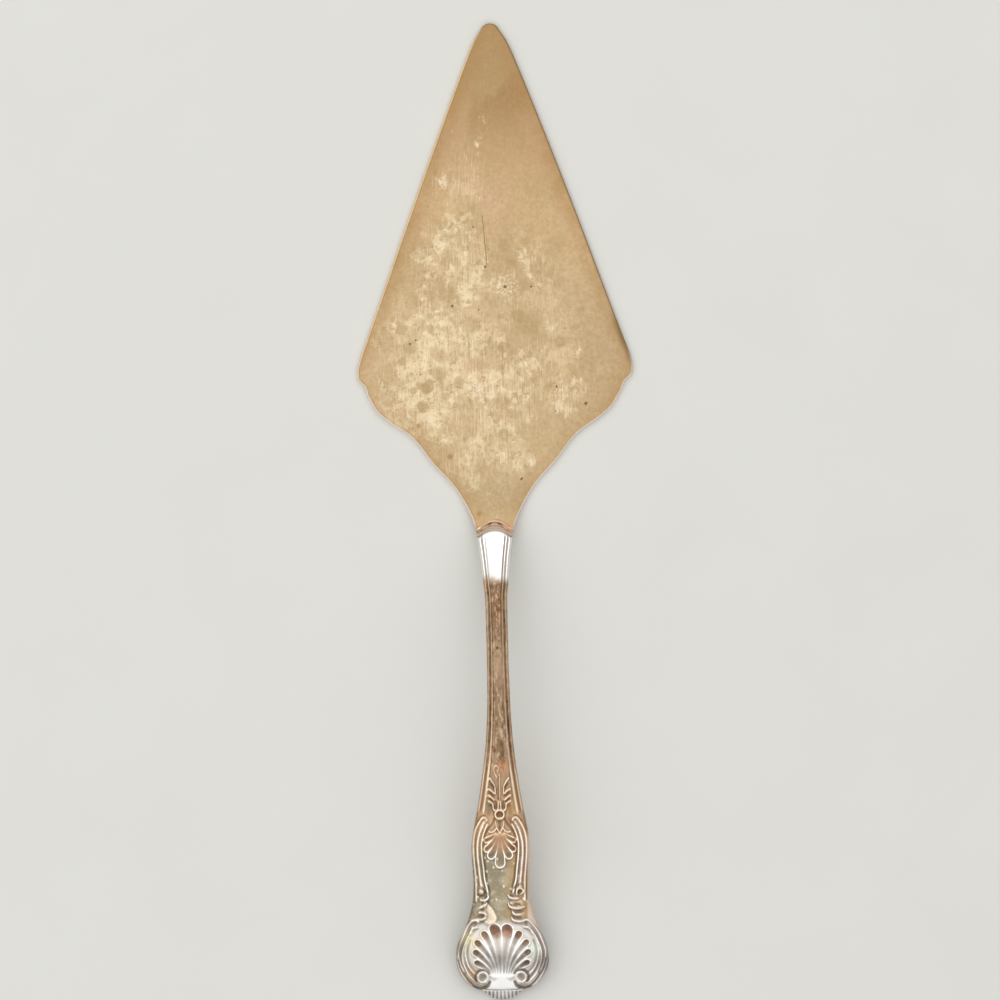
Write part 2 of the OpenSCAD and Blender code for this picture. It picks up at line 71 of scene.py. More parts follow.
# %% Sizes shared with the solids
blade_t = 1.3
tip_r = 2.6
corner_step = 2.4
tang_len = 36.0
tang_root_w = 6.2
tang_end_w = 2.4
waist_w = 15.0
palmette_w = 15.8
stem_w = 5.8
mouth_w = 9.7
foot_w = 10.2
arch_rise = 2.2
front_h = 2.3
back_h = 1.9
edge_h = 0.8
wall = 0.5
seam_t = 0.12
neck_angle = math.radians(28)
tail_angle = math.radians(17)
crank_r = 24.0
crank_lead = 10.0
clear = 0.05
mouth_u = handle_len - arch_rise

# %% [markdown]
# ## Smooth curves through a few points
# Every outline here is a short table: a place along the piece, and the size there. A curve is
# drawn through the rows so that it never swings past them, which is what a draughtsman's spline
# does when its weights are set with care. `curve_through` makes such a curve as a function.

# %% A curve that never overshoots
def curve_through(rows):
    places, values = np.array(rows, dtype=float).T
    gaps = np.diff(places)
    slopes = np.diff(values) / gaps
    before, after = slopes[:-1], slopes[1:]
    same_way = before * after > 0
    total = np.where(same_way, before + after, 1.0)
    inner = np.where(same_way, 2 * before * after / total, 0.0)
    tangents = np.concatenate([slopes[:1], inner, slopes[-1:]])

    def curve(x):
        x = np.clip(x, places[0], places[-1])
        i = np.clip(np.searchsorted(places, x, side="right") - 1, 0, len(gaps) - 1)
        s = (x - places[i]) / gaps[i]
        q = 1 - s
        ends = values[i] * q * q * (1 + 2 * s) + values[i + 1] * s * s * (3 - 2 * s)
        return ends + gaps[i] * s * q * (tangents[i] * q - tangents[i + 1] * s)

    return curve


def ease(s):
    """Rises smoothly from 0 to 1 as s does."""
    s = np.clip(s, 0, 1)
    return s * s * (3 - 2 * s)


# %% Outline of the handle, from its foot to its mouth
notch_share = 0.0175
outline_parts = [
    (foot_w, [(0, 0.25), (0.002, 0.42), (0.005, 0.58), (0.009, 0.73), (0.0135, 0.88),
              (notch_share, 1)]),
    (shell_w, [(0.0205, 0.495), (0.024, 0.585), (0.030, 0.705), (0.041, 0.825), (0.051, 0.9),
               (0.062, 0.952), (0.072, 0.985), (0.086, 1), (0.101, 0.993), (0.115, 0.97),
               (0.125, 0.93), (0.146, 0.828)]),
    (waist_w, [(0.168, 1.215), (0.189, 1.105), (0.210, 1.032), (0.245, 1)]),
    (palmette_w, [(0.319, 1), (0.336, 0.985), (0.379, 0.86), (0.421, 0.735), (0.463, 0.63)]),
    (stem_w, [(0.526, 1.35), (0.579, 1.155), (0.632, 1.06), (0.740, 1), (0.790, 1),
              (0.843, 1.025)]),
    (mouth_w, [(0.885, 0.715), (0.928, 0.815), (0.9827, 1), (1, 1.05)]),
]
side_curve = curve_through([(place, share * width / 2) for width, rows in outline_parts
                            for place, share in rows])
crown_curve = curve_through([
    (0, 0.5), (0.01, 0.62), (notch_share, 0.7), (0.05, 0.88), (0.1, 1), (0.16, 0.97),
    (0.24, 0.9), (0.32, 0.97), (0.42, 0.95), (0.6, 0.88), (0.8, 0.88), (0.9, 0.95), (1, 1),
])
wall_curve = curve_through([(0, 0.5), (notch_share, 0.7), (0.06, 1), (1, 1)])


def side_half(u):
    return side_curve(u / handle_len)


def crown(u, height):
    return height * crown_curve(u / handle_len)


# %% [markdown]
# ## The bend of the handle
# Seen from the side the sheet leaves the blade flat, turns up through a short bend, follows one
# long arch over the fingers, and comes down straight to the table. Everything on the handle is
# first laid out flat and then lifted onto this line.

# %% Height of the handle's middle line above the table
probes = np.linspace(0, handle_len / 4, 26)
foot_z = seam_t / 2 + float(np.max(crown(probes, back_h) - probes * math.tan(tail_angle)))
run = handle_len + crank_lead - crank_r * math.sin(neck_angle)
climb = blade_t / 2 + crank_r * (1 - math.cos(neck_angle)) - foot_z
cos_drop = math.cos(tail_angle) - math.cos(neck_angle)
sin_sum = math.sin(tail_angle) + math.sin(neck_angle)
tail_run = (climb * sin_sum + run * cos_drop) / (cos_drop + math.tan(tail_angle) * sin_sum)
arch_r = (run - tail_run) / sin_sum
crank_y = foot_y + handle_len + crank_lead
bend_end_y = crank_y - crank_r * math.sin(neck_angle)
tail_end_y = foot_y + tail_run
arch_y = crank_y - (crank_r + arch_r) * math.sin(neck_angle)
arch_z = blade_t / 2 + crank_r - (crank_r + arch_r) * math.cos(neck_angle)


def by_stretch(y, flat, bend, arch, tail):
    """Picks the value of the stretch that y lies in: blade, short bend, long arch or tail."""
    return np.select([y >= crank_y, y >= bend_end_y, y >= tail_end_y], [flat, bend, arch], tail)


def mid_z(y):
    y = np.asarray(y, dtype=float)
    bend = blade_t / 2 + crank_r - np.sqrt(np.maximum(crank_r**2 - (crank_y - y) ** 2, 0))
    arch = arch_z + np.sqrt(np.maximum(arch_r**2 - (y - arch_y) ** 2, 0))
    return by_stretch(y, blade_t / 2, bend, arch, foot_z + (y - foot_y) * math.tan(tail_angle))


def lean(y):
    """How steeply the middle line runs at y, as an angle from the table."""
    y = np.asarray(y, dtype=float)
    bend = np.arcsin(np.clip((crank_y - y) / crank_r, -1, 1))
    arch = np.arcsin(np.clip((y - arch_y) / arch_r, -1, 1))
    return by_stretch(y, 0, bend, arch, -tail_angle)


print(f"arch radius {arch_r:.1f} mm, straight tail {tail_run:.1f} mm long")

# %% [markdown]
# ## A handmade wander
# No real server is quite straight. Its middle wanders by a fraction of a millimetre from the line
# that joins tip and foot, and the ornament sits a little to the left on the handle, as the dies
# were set by eye. Both wanders are small curves, and every piece follows the same one. The
# blade's corners were cut by hand too, and the right one sits a little nearer the tip.

# %% How far the middle wanders sideways
sway = curve_through([(-131, 0), (-60, 0), (-40, -0.15), (-5, -0.5), (11, -0.45), (19, -0.3),
                      (25, -0.25), (31, -0.1), (37, 0.15), (80, 0.15), (110, 0.1), (131, 0)])
corner_tilt = 0.0108
ornament_shift = curve_through([(0, -0.1), (17, -0.1), (20.5, -0.4), (24, -0.3), (60, -0.2)])

# %% [markdown]
# ## Relief as a height map
# The real ornament is struck: a steel die pushes ridges and hollows into thin metal, so no part
# of it overhangs. It could be sculpted or built from many small pieces, but a height map holds
# exactly what a die can strike. The handle is therefore laid out as a fine grid, and each thread,
# petal and flute adds to or takes from the height of the grid points near it. A stroke is a path
# with a half width, and `closeness` says how near each point lies to it, as a share of that half
# width. Strokes are drawn for one side and mirrored, unless the two sides differ.

# %% Paths
def bent_path(points, steps=7):
    """A round path through a few points (Catmull-Rom)."""
    p = np.array([points[0], *points, points[-1]], dtype=float)
    out = []
    for a, b, c, d in zip(p[:-3], p[1:-2], p[2:-1], p[3:]):
        for k in range(steps):
            s = k / steps
            out.append(0.5 * (2 * b + (c - a) * s + (2 * a - 5 * b + 4 * c - d) * s**2
                              + (3 * b - a - 3 * c + d) * s**3))
    return np.array(out + [p[-1]])


def arc_path(centre, radius, from_deg=0, to_deg=360, steps=40):
    """Part of a circle. Zero degrees points away from the middle line, and 90 to the mouth."""
    angles = np.radians(np.linspace(from_deg, to_deg, steps))
    return np.stack([centre[0] + radius * np.cos(angles), centre[1] + radius * np.sin(angles)], 1)


def dot(centre):
    return arc_path(centre, 0.05)


def distance_to(a, b, x, y):
    """How far each point lies from the line between a and b, and how far along it."""
    run_x, run_y = b - a
    along = ((x - a[0]) * run_x + (y - a[1]) * run_y) / max(run_x**2 + run_y**2, 1e-9)
    s = np.clip(along, 0, 1)
    return np.hypot(x - a[0] - s * run_x, y - a[1] - s * run_y), s


def closeness(path, half_widths, x, u):
    """Distance of each point from the path, as a share of the path's half width there."""
    widths = np.interp(np.linspace(0, 1, len(path)), np.linspace(0, 1, len(half_widths)),
                       half_widths)
    reach = max(half_widths)
    far = 9.0
    best = np.full(x.shape, far)
    low, high = path.min(0) - reach, path.max(0) + reach
    near = (x > low[0]) & (x < high[0]) & (u > low[1]) & (u < high[1])
    near_x, near_u, found = x[near], u[near], best[near]
    for a, b, wa, wb in zip(path[:-1], path[1:], widths[:-1], widths[1:]):
        gap, s = distance_to(a, b, near_x, near_u)
        found = np.minimum(found, gap / (wa + (wb - wa) * s))
    best[near] = found
    return best


# %% Strokes
def blurred(grid, reach):
    """The grid with each point averaged over its neighbours along and across."""
    for axis in (0, 1):
        ends = np.pad(grid, [(reach, reach) if a == axis else (0, 0) for a in (0, 1)], mode="edge")
        total = np.cumsum(np.insert(ends, 0, 0, axis), axis)
        span = 2 * reach + 1
        upper = np.take(total, range(span, total.shape[axis]), axis)
        lower = np.take(total, range(0, total.shape[axis] - span), axis)
        grid = (upper - lower) / span
    return grid


class Relief:
    """Heights over a grid of points, with ridges raised and hollows cut one stroke at a time."""

    def __init__(self, x, u):
        self.x = x
        self.u = u
        self.across = x - ornament_shift(u)
        self.mirrored = True
        self.layers = {name: np.zeros(x.shape)
                       for name in ("raised", "cut", "pads", "stain", "pale")}

    def add(self, layer, values):
        """Keeps the larger of what the layer holds and what is new."""
        self.layers[layer] = np.maximum(self.layers[layer], values)

    def nearness(self, path, half_widths):
        """Nearness to a path. A list of points is bent into a round path first."""
        path = bent_path(path) if isinstance(path, list) else path
        across = np.abs(self.across) if self.mirrored else self.across
        return closeness(path, np.atleast_1d(half_widths), across, self.u)

    def ridge(self, path, half_widths, height):
        q = self.nearness(path, half_widths)
        self.add("raised", height * np.clip(1 - q * q, 0, 1) ** 1.1)

    def groove(self, path, half_widths, depth, stain=0.0):
        q = self.nearness(path, half_widths)
        shape = np.clip(1 - q * q, 0, 1)
        self.add("cut", depth * shape)
        self.add("stain", stain * shape ** 0.5)

    def pad(self, path, half_widths, height, soft=0.3, pale=0.0):
        shape = ease((1 - self.nearness(path, half_widths)) / soft)
        self.add("pads", height * shape)
        self.add("pale", pale * shape)

    def heights(self):
        layers = self.layers
        return blurred(layers["pads"] + layers["raised"] - layers["cut"], 1)


# %% [markdown]
# ## Threads along the edges
# Two fine threads follow each edge of the stem from the mouth to the ornament. They could be
# drawn as strokes, but they are placed by their distance from the edge instead, so they stay
# parallel to it however the handle widens. They fade out under the lip of the mouth.

# %% Threads placed by their distance from the edge
scroll_top_u = 49.2
rim_ridge = curve_through([(0, 0.4), (0.5, 0.35), (0.6, 0.3), (0.8, 0.3), (0.9, 0.5), (1, 0.5)])
rim_groove = curve_through([(0, 0.95), (0.5, 0.9), (0.6, 0.78), (0.8, 0.78), (0.9, 1.0),
                            (1, 1.02)])
thread_ridge = curve_through([(0, 1.75), (0.42, 1.75), (0.5, 1.65), (0.6, 1.38), (0.8, 1.36),
                              (0.9, 1.42), (1, 1.45)])
thread_groove = curve_through([(0, 2.25), (0.42, 2.2), (0.5, 2.1), (0.6, 1.78), (0.8, 1.76),
                               (0.9, 1.82), (1, 1.84)])
threads = [("cut", rim_groove, 0.13, 0.32), ("cut", thread_groove, 0.09, 0.24),
           ("raised", rim_ridge, 0.1, 0.3), ("raised", thread_ridge, 0.13, 0.36)]


def bump(gap, half_width):
    q = np.clip(np.abs(gap) / half_width, 0, 1)
    return (1 - q * q) ** 1.2


def edge_threads(relief, half):
    gap = half - np.abs(relief.x)
    place = relief.u / handle_len
    shown = ease((relief.u - scroll_top_u) / 2.5) * ease((mouth_u - 0.6 - relief.u) / 1.2)
    for layer, curve, height, half_width in threads:
        relief.add(layer, height * bump(gap - curve(place), half_width) * shown)
    panel_depth = 0.09
    inside = ease((gap - thread_ridge(place)) / 0.45)
    relief.layers["pads"] -= panel_depth * inside * ease((relief.u - 22) / 4)
    relief.add("cut", 0.1 * bump(mouth_u - relief.u - 0.85, 0.28))
    near_mouth = ease((relief.u - 92) / 6)
    right_line = bump(gap - thread_groove(place), 0.3) * (relief.x > 0) * near_mouth
    relief.add("stain", 0.75 * right_line * shown)


# %% [markdown]
# ## The upper spray
# Where the stem widens, a narrow spray of leaves stands over a small round boss. The leaves are
# short ridges that spring from the middle and turn out to the threads, and the lowest pair runs
# on into two cups that hold the stalk. Such leaves could be modelled one by one, but drawn as
# strokes they keep the soft feet that struck metal has.

# %% Spray, boss and bud
def spray_leaves(relief):
    leaves = [
        [(2.55, 59.5), (1.75, 58.3), (1.2, 57.0), (1.1, 55.4)],
        [(2.95, 56.6), (2.1, 56.1), (1.5, 55.4)],
        [(3.0, 54.9), (2.2, 54.4), (1.55, 53.6)],
        [(3.0, 53.4), (2.3, 53.1), (1.8, 52.6), (1.75, 51.9), (1.55, 51.1), (0.95, 50.75),
         (0.48, 51.1), (0.33, 52.0), (0.28, 53.2)],
    ]
    for leaf in leaves:
        relief.ridge(leaf, 0.38, 0.28)
    for start, end in [((1.5, 57.2), (2.2, 58.0)), ((1.7, 55.0), (2.5, 55.6)),
                       ((1.7, 53.4), (2.5, 53.9))]:
        relief.groove([start, end], 0.42, 0.14, 0.5)
    relief.groove([(1.0, 51.7), (1.0, 53.4)], [0.42, 0.3], 0.12, 0.3)
    relief.groove([(2.75, 52.3), (2.95, 50.3)], [0.5, 0.7], 0.08, 0.3)


def stalk(relief):
    relief.ridge([(0.1, 53.2), (0.1, 57.0), (0.05, 60.6)], 0.24, 0.16)
    relief.groove([(-0.4, 54.0), (-0.45, 60.0)], 0.3, 0.1)
    relief.ridge([(-0.6, 59.8), (-1.25, 60.9), (-1.35, 62.2), (-0.75, 63.0), (-0.2, 62.3),
                  (-0.4, 61.3)], 0.26, 0.18)


def boss(relief):
    middle = (0.0, 49.75)
    relief.pad(dot(middle), 1.7, 0.08, 0.5)
    relief.ridge(arc_path(middle, 1.2), 0.42, 0.24)
    relief.groove(dot(middle), 0.88, 0.26, 0.7)


def bud(relief):
    relief.ridge([(1.1, 47.9), (0.95, 46.6), (0.75, 45.9)], 0.26, 0.18)
    relief.ridge([(0.75, 46.2), (1.4, 45.5), (2.1, 45.1), (2.9, 45.15)], 0.3, 0.24)
    relief.ridge([(0.72, 46.1), (0.4, 45.4), (0, 45.0)], 0.28, 0.24)
    relief.groove([(0, 47.9), (0, 46.2)], [0.5, 0.38], 0.12, 0.3)
    relief.groove([(1.5, 48.6), (2.0, 47.4), (2.9, 46.2), (3.5, 45.2)], 0.34, 0.12, 0.3)


# %% [markdown]
# ## The palmette
# Below the boss hangs a palmette: petals with hollow, rounded ends that open like a fan. Each is
# a tapered channel with a raised lip. The same form, larger, makes the scallop at the end, so one
# function draws both: first the lip as a pad, then the hollow within it.

# %% Hollow petals
def hollow_petals(relief, petals, lip, lip_height, depth, root_half, tip_stain, root_stain_and_shade):
    for path, tip_half in petals:
        relief.pad(path, [root_half + lip * 0.5, tip_half * 0.8 + lip, tip_half + lip], lip_height)
    for path, tip_half in petals:
        q = relief.nearness(path, [root_half, tip_half * 0.78, tip_half])
        shape = np.clip(1 - q * q, 0, 1)
        off_root = np.hypot(np.abs(relief.across) - path[0][0], relief.u - path[0][1])
        from_root = ease(off_root / 1.8)
        tip, root = path[-1:].repeat(2, 0), path[:1].repeat(2, 0)
        by_tip = np.clip(1 - relief.nearness(tip, 3.6 * tip_half), 0, 1)
        at_tip = np.clip(1 - relief.nearness(tip, 1.9 * tip_half), 0, 1)
        at_root = np.clip(1 - relief.nearness(root, 10.0), 0, 1)
        full = shape ** 0.7
        relief.add("cut", depth * (0.5 + 0.5 * by_tip) * full * from_root)
        relief.add("stain", tip_stain * ease(1.7 * at_tip) * ease(2 * full))
        # Darkening along each channel near its root: partly tarnish, partly painted shade.
        relief.add("stain", root_stain_and_shade * ease(2 * at_root) * full**2 * from_root)


def curved_petal(root, tip, steps=24):
    """Leaves its root straight along the handle and then bends out to its tip."""
    root, tip = np.array(root, dtype=float), np.array(tip, dtype=float)
    turn = np.array([1.2 * root[0], (root[1] + tip[1]) / 2])
    s = np.linspace(0, 1, steps)[:, None]
    return root * (1 - s) ** 2 + 2 * turn * s * (1 - s) + tip * s**2


def palmette(relief):
    petals = [
        (curved_petal((0, 44.7), (0, 36.7)), 1.3),
        (curved_petal((0.45, 44.7), (2.4, 38.8)), 0.95),
        (curved_petal((0.85, 44.7), (3.6, 40.5)), 0.7),
        (curved_petal((1.1, 44.9), (3.7, 42.9)), 0.56),
    ]
    hollow_petals(relief, petals, 0.42, 0.2, 0.26, 0.2, 0.15, 0.35)


# %% [markdown]
# ## Side scrolls
# Three threads frame the palmette on each side. They hook inwards at the top, run down beside the
# waist, and end in a bead. Under the bead a short leaf of curled lobes leads over to the shell.
# The stained line beside a thread is drawn from the thread's own points, moved sideways.

# %% Scrolls beside the palmette and the leaf below them
def side_scrolls(relief):
    outer = [(3.45, 48.3), (3.8, 48.85), (4.45, 49.0), (5.15, 48.45), (5.6, 47.7), (6.05, 46.9),
             (6.65, 45.6), (7.05, 44.0), (7.25, 42.0), (7.2, 39.0), (6.95, 36.0), (6.7, 33.0),
             (6.6, 30.0), (6.6, 26.5)]
    middle = [(4.1, 47.8), (4.9, 46.4), (5.5, 44.8), (5.95, 43.0), (6.15, 41.0), (6.1, 38.5),
              (5.85, 36.0), (5.6, 33.5), (5.35, 31.4), (5.25, 30.5)]
    inner = [(3.3, 47.1), (4.05, 45.6), (4.6, 44.0), (4.95, 42.3), (5.0, 40.3), (4.85, 38.0),
             (4.5, 35.0), (4.25, 32.5), (3.75, 30.4), (3.4, 28.8)]
    relief.pad(middle, [0.9, 1.2, 1.4, 1.4, 1.2], 0.02, 0.5, pale=0.6)
    relief.ridge(outer, [0.42, 0.42, 0.34, 0.3], 0.2)
    relief.ridge(middle, 0.42, 0.2)
    relief.ridge(inner, 0.42, 0.22)
    for thread, aside, half_width, depth, stain in [
            (inner[1:], 0.54, 0.2, 0.06, 0.12), (middle[2:], 0.54, 0.2, 0.06, 0.12),
            (inner[1:], -0.6, 0.3, 0.08, 0.15)]:
        relief.groove([(x + aside, u) for x, u in thread], half_width, depth, stain)
    relief.groove([(3.9, 49.6), (4.8, 49.4), (5.9, 48.0)], 0.3, 0.08, 0.3)


def scroll_ends(relief):
    bead = (-5.2, 28.95)
    relief.ridge(dot(bead), 0.85, 0.36)
    relief.ridge([bead, (-6.0, 28.6)], [0.6, 0.3], 0.2)
    relief.groove(arc_path(bead, 1.05, -150, 60), 0.26, 0.12, 0.4)
    relief.ridge([(4.45, 28.1), (4.3, 28.9), (4.55, 29.6), (5.15, 29.9), (5.75, 29.7),
                  (6.0, 29.3)], 0.34, 0.28)
    relief.ridge([(5.45, 28.4), (6.0, 28.75), (6.55, 29.4)], 0.32, 0.26)
    relief.groove(dot((5.25, 28.9)), 0.6, 0.2, 0.6)
    relief.groove([(3.6, 29.9), (4.3, 30.6), (5.3, 30.9)], 0.34, 0.12, 0.4)


def waist_leaf(relief):
    """Curled lobes in a row. The two sides were cut by hand, and differ."""
    lobes = [
        [(2.0, 28.2), (2.35, 27.55), (3.1, 27.2), (4.0, 27.1), (4.9, 27.15)],
        [(2.1, 26.0), (2.3, 25.2), (3.1, 24.65), (4.4, 24.45), (5.5, 24.6), (6.4, 24.9)],
        [(3.1, 23.9), (3.4, 23.15), (4.2, 22.75), (5.5, 22.75)],
        [(3.0, 22.1), (3.3, 21.4), (4.2, 21.0), (5.3, 20.9), (6.4, 21.1)],
        [(-5.5, 26.75), (-4.6, 26.65), (-3.8, 26.85), (-3.3, 27.5), (-3.4, 28.2)],
        [(-5.9, 24.5), (-5.1, 24.85), (-4.2, 25.3), (-3.7, 25.9)],
        [(-5.9, 23.35), (-5.2, 23.4), (-4.35, 23.2), (-3.9, 22.6)],
        [(-6.5, 21.8), (-5.5, 21.5), (-4.6, 21.6), (-4.0, 22.0)],
    ]
    hollows = [[(2.7, 28.0), (3.5, 27.6)], [(3.5, 25.6), (5.2, 25.5)],
               [(4.2, 23.5), (6.0, 23.7)], [(4.2, 21.8), (5.7, 21.75)],
               [(-4.9, 26.05), (-4.1, 25.95)], [(-5.2, 24.15), (-4.6, 24.25)],
               [(-6.0, 22.55), (-4.8, 22.55)]]
    right_side = np.array([(3.6, 27.8), (4.5, 25.5), (4.9, 23.3), (5.0, 21.6)])
    left_side = np.array([(-4.8, 27.2), (-5.0, 24.5), (-5.2, 22.2)])
    relief.pad(right_side, [0.9, 1.9, 1.6, 1.5], 0.04, 0.4, pale=0.5)
    relief.pad(left_side, [0.8, 1.0, 1.2], 0.02, 0.5, pale=0.35)
    for lobe in lobes:
        relief.ridge(lobe, [0.14, 0.46, 0.5, 0.3], 0.27)
    for hollow in hollows:
        relief.groove(hollow, [0.2, 0.34, 0.2], 0.14, 0.4)
    relief.pad([(-4.3, 26.2), (-3.3, 23.9), (-2.8, 21.8)], [0.35, 1.5, 2.1], 0.12, pale=0.8)


# %% [markdown]
# ## The scallop shell
# The end of the handle is a scallop between two scrolls. Ten flutes rise from one root, lean out
# and end in round hollows, and the ridges between them catch the light. The scrolls run down
# either side in two threads and roll up into volutes beside the root. The ribs of the foot are
# one wave across the handle, because a die cutter spaces them with a single tool.

# %% Shell, border scrolls, volutes and foot
def scallop(relief):
    petals = [
        (curved_petal((0.42, 5.9), (1.66, 18.8)), 1.62),
        (curved_petal((1.08, 5.9), (4.65, 17.6)), 0.98),
        (curved_petal((1.62, 5.9), (6.6, 15.3)), 0.88),
        (curved_petal((2.1, 5.9), (7.1, 12.7)), 0.84),
        (curved_petal((2.55, 6.0), (6.8, 9.85)), 0.78),
    ]
    hollow_petals(relief, petals, 0.34, 0.2, 0.4, 0.2, 0.85, 0.7)


def border_scrolls(relief):
    relief.ridge([(5.9, 20.9), (6.7, 21.35), (7.6, 21.2), (8.4, 20.4), (9.55, 18.8),
                  (10.7, 16.3), (11.55, 13.8), (11.75, 12.0), (11.35, 9.6), (10.35, 7.4)],
                 0.4, 0.24)
    relief.ridge([(6.3, 19.4), (7.2, 19.3), (7.9, 18.8), (8.95, 17.1), (9.95, 14.9),
                  (10.5, 13.2), (10.65, 11.8), (10.3, 9.3), (9.1, 6.7), (7.6, 5.0), (6.5, 4.45),
                  (5.3, 4.35)], 0.44, 0.28)
    relief.ridge([(8.0, 18.1), (9.15, 16.0), (9.8, 13.8), (9.85, 12.0), (9.4, 9.8), (8.5, 8.1),
                  (7.3, 6.8), (6.4, 6.1)], 0.3, 0.2)
    relief.groove([(7.5, 20.4), (8.4, 19.3), (9.8, 16.6), (10.8, 14.2), (11.2, 12.0),
                   (10.9, 9.6), (9.8, 7.2)], [0.3, 0.34, 0.3], 0.16, 0.15)
    relief.groove([(8.6, 17.3), (9.55, 15.2), (10.2, 12.9), (10.1, 10.8), (9.4, 8.6), (8.3, 6.7),
                   (7.2, 5.5)], 0.26, 0.14, 0.15)
    relief.groove([(8.5, 15.9), (9.15, 13.8), (9.3, 12.0), (8.85, 9.8), (8.0, 8.3), (7.1, 7.4)],
                  [0.26, 0.3, 0.4], 0.1, 0.15)
    relief.groove([(6.9, 20.4), (7.1, 20.1)], 0.55, 0.2, 0.25)
    relief.groove([(3.4, 4.7), (4.1, 3.5), (5.6, 3.0), (7.4, 3.5)], [0.42, 0.56, 0.5], 0.32, 0.8)
    relief.groove([(7.4, 3.5), (8.9, 4.9), (10.2, 6.7), (11.2, 8.6), (11.8, 10.8)],
                  [0.48, 0.4, 0.28], 0.3, 0.2)


def volutes(relief):
    """The two rolled ends. The right one was struck a little nearer the middle."""
    for eye, open_from in [((-5.25, 5.9), 30), ((5.05, 5.9), -40)]:
        relief.pad(dot(eye), 1.8, 0.14)
        relief.ridge(arc_path(eye, 1.42), 0.36, 0.22)
        relief.groove(dot(eye), 1.08, 0.2, 0.12)
        relief.groove(arc_path(eye, 2.0, open_from, open_from + 190), 0.34, 0.26, 0.7)


def root_and_foot(relief):
    ribs, rib_depth, notch_u = 10, 0.36, 2.4
    relief.pad(np.array([(0, 6.6), (0, 3.0)]), [1.9, 3.6], 0.24, 0.9)
    relief.groove([(-4.6, 2.62), (0, 2.45), (4.6, 2.62)], 0.26, 0.26, 0.5)
    waves = 0.5 - 0.5 * np.cos(2 * math.pi * ribs * relief.x / foot_w)
    on_foot = ease((notch_u - relief.u) / 0.35)
    relief.add("cut", rib_depth * waves * on_foot)
    relief.add("stain", 0.4 * waves * on_foot)


mirrored_motifs = [spray_leaves, bud, palmette, side_scrolls, scallop, border_scrolls]
single_motifs = [stalk, boss, scroll_ends, waist_leaf, volutes, root_and_foot]
print(len(mirrored_motifs), "motifs are mirrored and", len(single_motifs), "are not")

# %% [markdown]
# ## Building a half shell
# The grid has one row for each short step along the handle, and its columns crowd together near
# the edges, where the threads are. An even grid would need ten times the points for the same
# crispness. Each row is a boxy half oval, with a low wall at the seam, and the relief is laid
# over it. A second, plainer surface inside gives the metal its thickness.

# %% The grid of a half shell
arch_side_share = 0.88
arch_fade = 9.0
nose_len = 1.1
section_power = 2.6
inner_power = 2.4
edge_zone = 2.6
edge_steps = 22
middle_steps = 100
inner_steps = 12


def row_places():
    """Distances from the foot: fine under the ornament and at the mouth, coarser on the stem."""
    foot_end = 3.0
    ornament_top = 63.5
    mouth_start = mouth_u - 3.0
    return np.concatenate([np.arange(0, foot_end, 0.1), np.arange(foot_end, ornament_top, 0.165),
                           np.arange(ornament_top, mouth_start, 0.5),
                           np.linspace(mouth_start, mouth_u, 25)])[::-1]


def bow(u, share):
    side = np.maximum(0, 1 - (share / arch_side_share) ** 2)
    return arch_rise * side * np.maximum(0, 1 - (mouth_u - u) / arch_fade) ** 2


def full_row(left, steps):
    """Places across a row, from -1 to 1: those near the left edge, even ones, and their mirror."""
    middle = np.linspace(left[-1], -left[-1], steps + 1)[1:-1]
    return np.concatenate([left, middle, -left[::-1]])


def column_shares(half):
    zone = min(edge_zone, 0.42 * half)
    near_edge = zone * (np.linspace(0, 1, edge_steps) ** 1.6)
    return full_row((near_edge - half) / half, middle_steps)


def with_walls(grid):
    """Repeats the first and last columns, for the foot of the plain wall at the seam."""
    return np.pad(grid, [(0, 0), (1, 1)], mode="edge")


def outer_surface(height, sunk, side):
    us = row_places()
    halves = side_half(us)
    shares = np.array([column_shares(h) for h in halves])
    u = np.repeat(us[:, None], shares.shape[1], 1)
    half = np.repeat(halves[:, None], shares.shape[1], 1)
    x = shares * half
    relief = Relief(x, u)
    edge_threads(relief, half)
    for motif in mirrored_motifs:
        motif(relief)
    relief.mirrored = False
    for motif in single_motifs:
        motif(relief)
    off_edge = ease((half - np.abs(x) - 0.04) / 0.3)
    carved = (relief.heights() - sunk) * off_edge
    lip = (blade_t / 2) / math.cos(neck_angle) + 1.4 * wall
    q = np.clip((mouth_u - u) / nose_len, 0, 1)
    nose = np.sqrt(1 - (1 - q) ** 2)
    top = lip + (crown(u, height) - lip) * nose
    low = np.minimum(edge_h * wall_curve(u / handle_len), top)
    dome = np.clip(1 - np.abs(shares) ** section_power, 0, 1) ** (1 / section_power)
    z = seam_t / 2 + low + (top - low) * dome + carved * nose
    x, z, shares, u = [with_walls(grid) for grid in (x, z, shares, u)]
    z[:, [0, -1]] = seam_t / 2
    y = foot_y + u + bow(u, shares)
    return us, halves, relief, np.stack([x + sway(y), y, mid_z(y) + side * z], 2)


def inner_surface(us, halves, height, side):
    t = np.sin(np.linspace(-math.pi / 2, math.pi / 2, inner_steps + 1))
    half = np.maximum(halves - wall, 0.3 * halves)[:, None]
    mouth_h = (blade_t / 2) / math.cos(neck_angle) + 0.4 * wall
    opened = ease((mouth_u - us) / (2 * nose_len))
    closed = ease((us / handle_len - 0.03) / 0.02)
    top = (mouth_h + (crown(us, height) - wall - mouth_h) * opened) * closed + 0.02
    share = np.repeat(t[None, :], len(us), 0)
    dome = np.clip(1 - np.abs(share) ** inner_power, 0, 1) ** (1 / inner_power)
    z = seam_t / 2 + top[:, None] * dome
    y = (foot_y + us)[:, None] + bow(us[:, None], share)
    return np.stack([t[None, :] * half + sway(y), y, mid_z(y) + side * z], 2)


# %% [markdown]
# ## From grid to mesh
# The two surfaces become one closed mesh: squares over each surface, a rim along both sides, and
# a strip that joins the rows at each end. Blender's Solidify could thicken one surface, but it
# would give the smooth inside the ornament of the outside. A closed mesh has an inside and an
# outside, which is what a printer or a physics engine needs, and it can't show a stray edge.

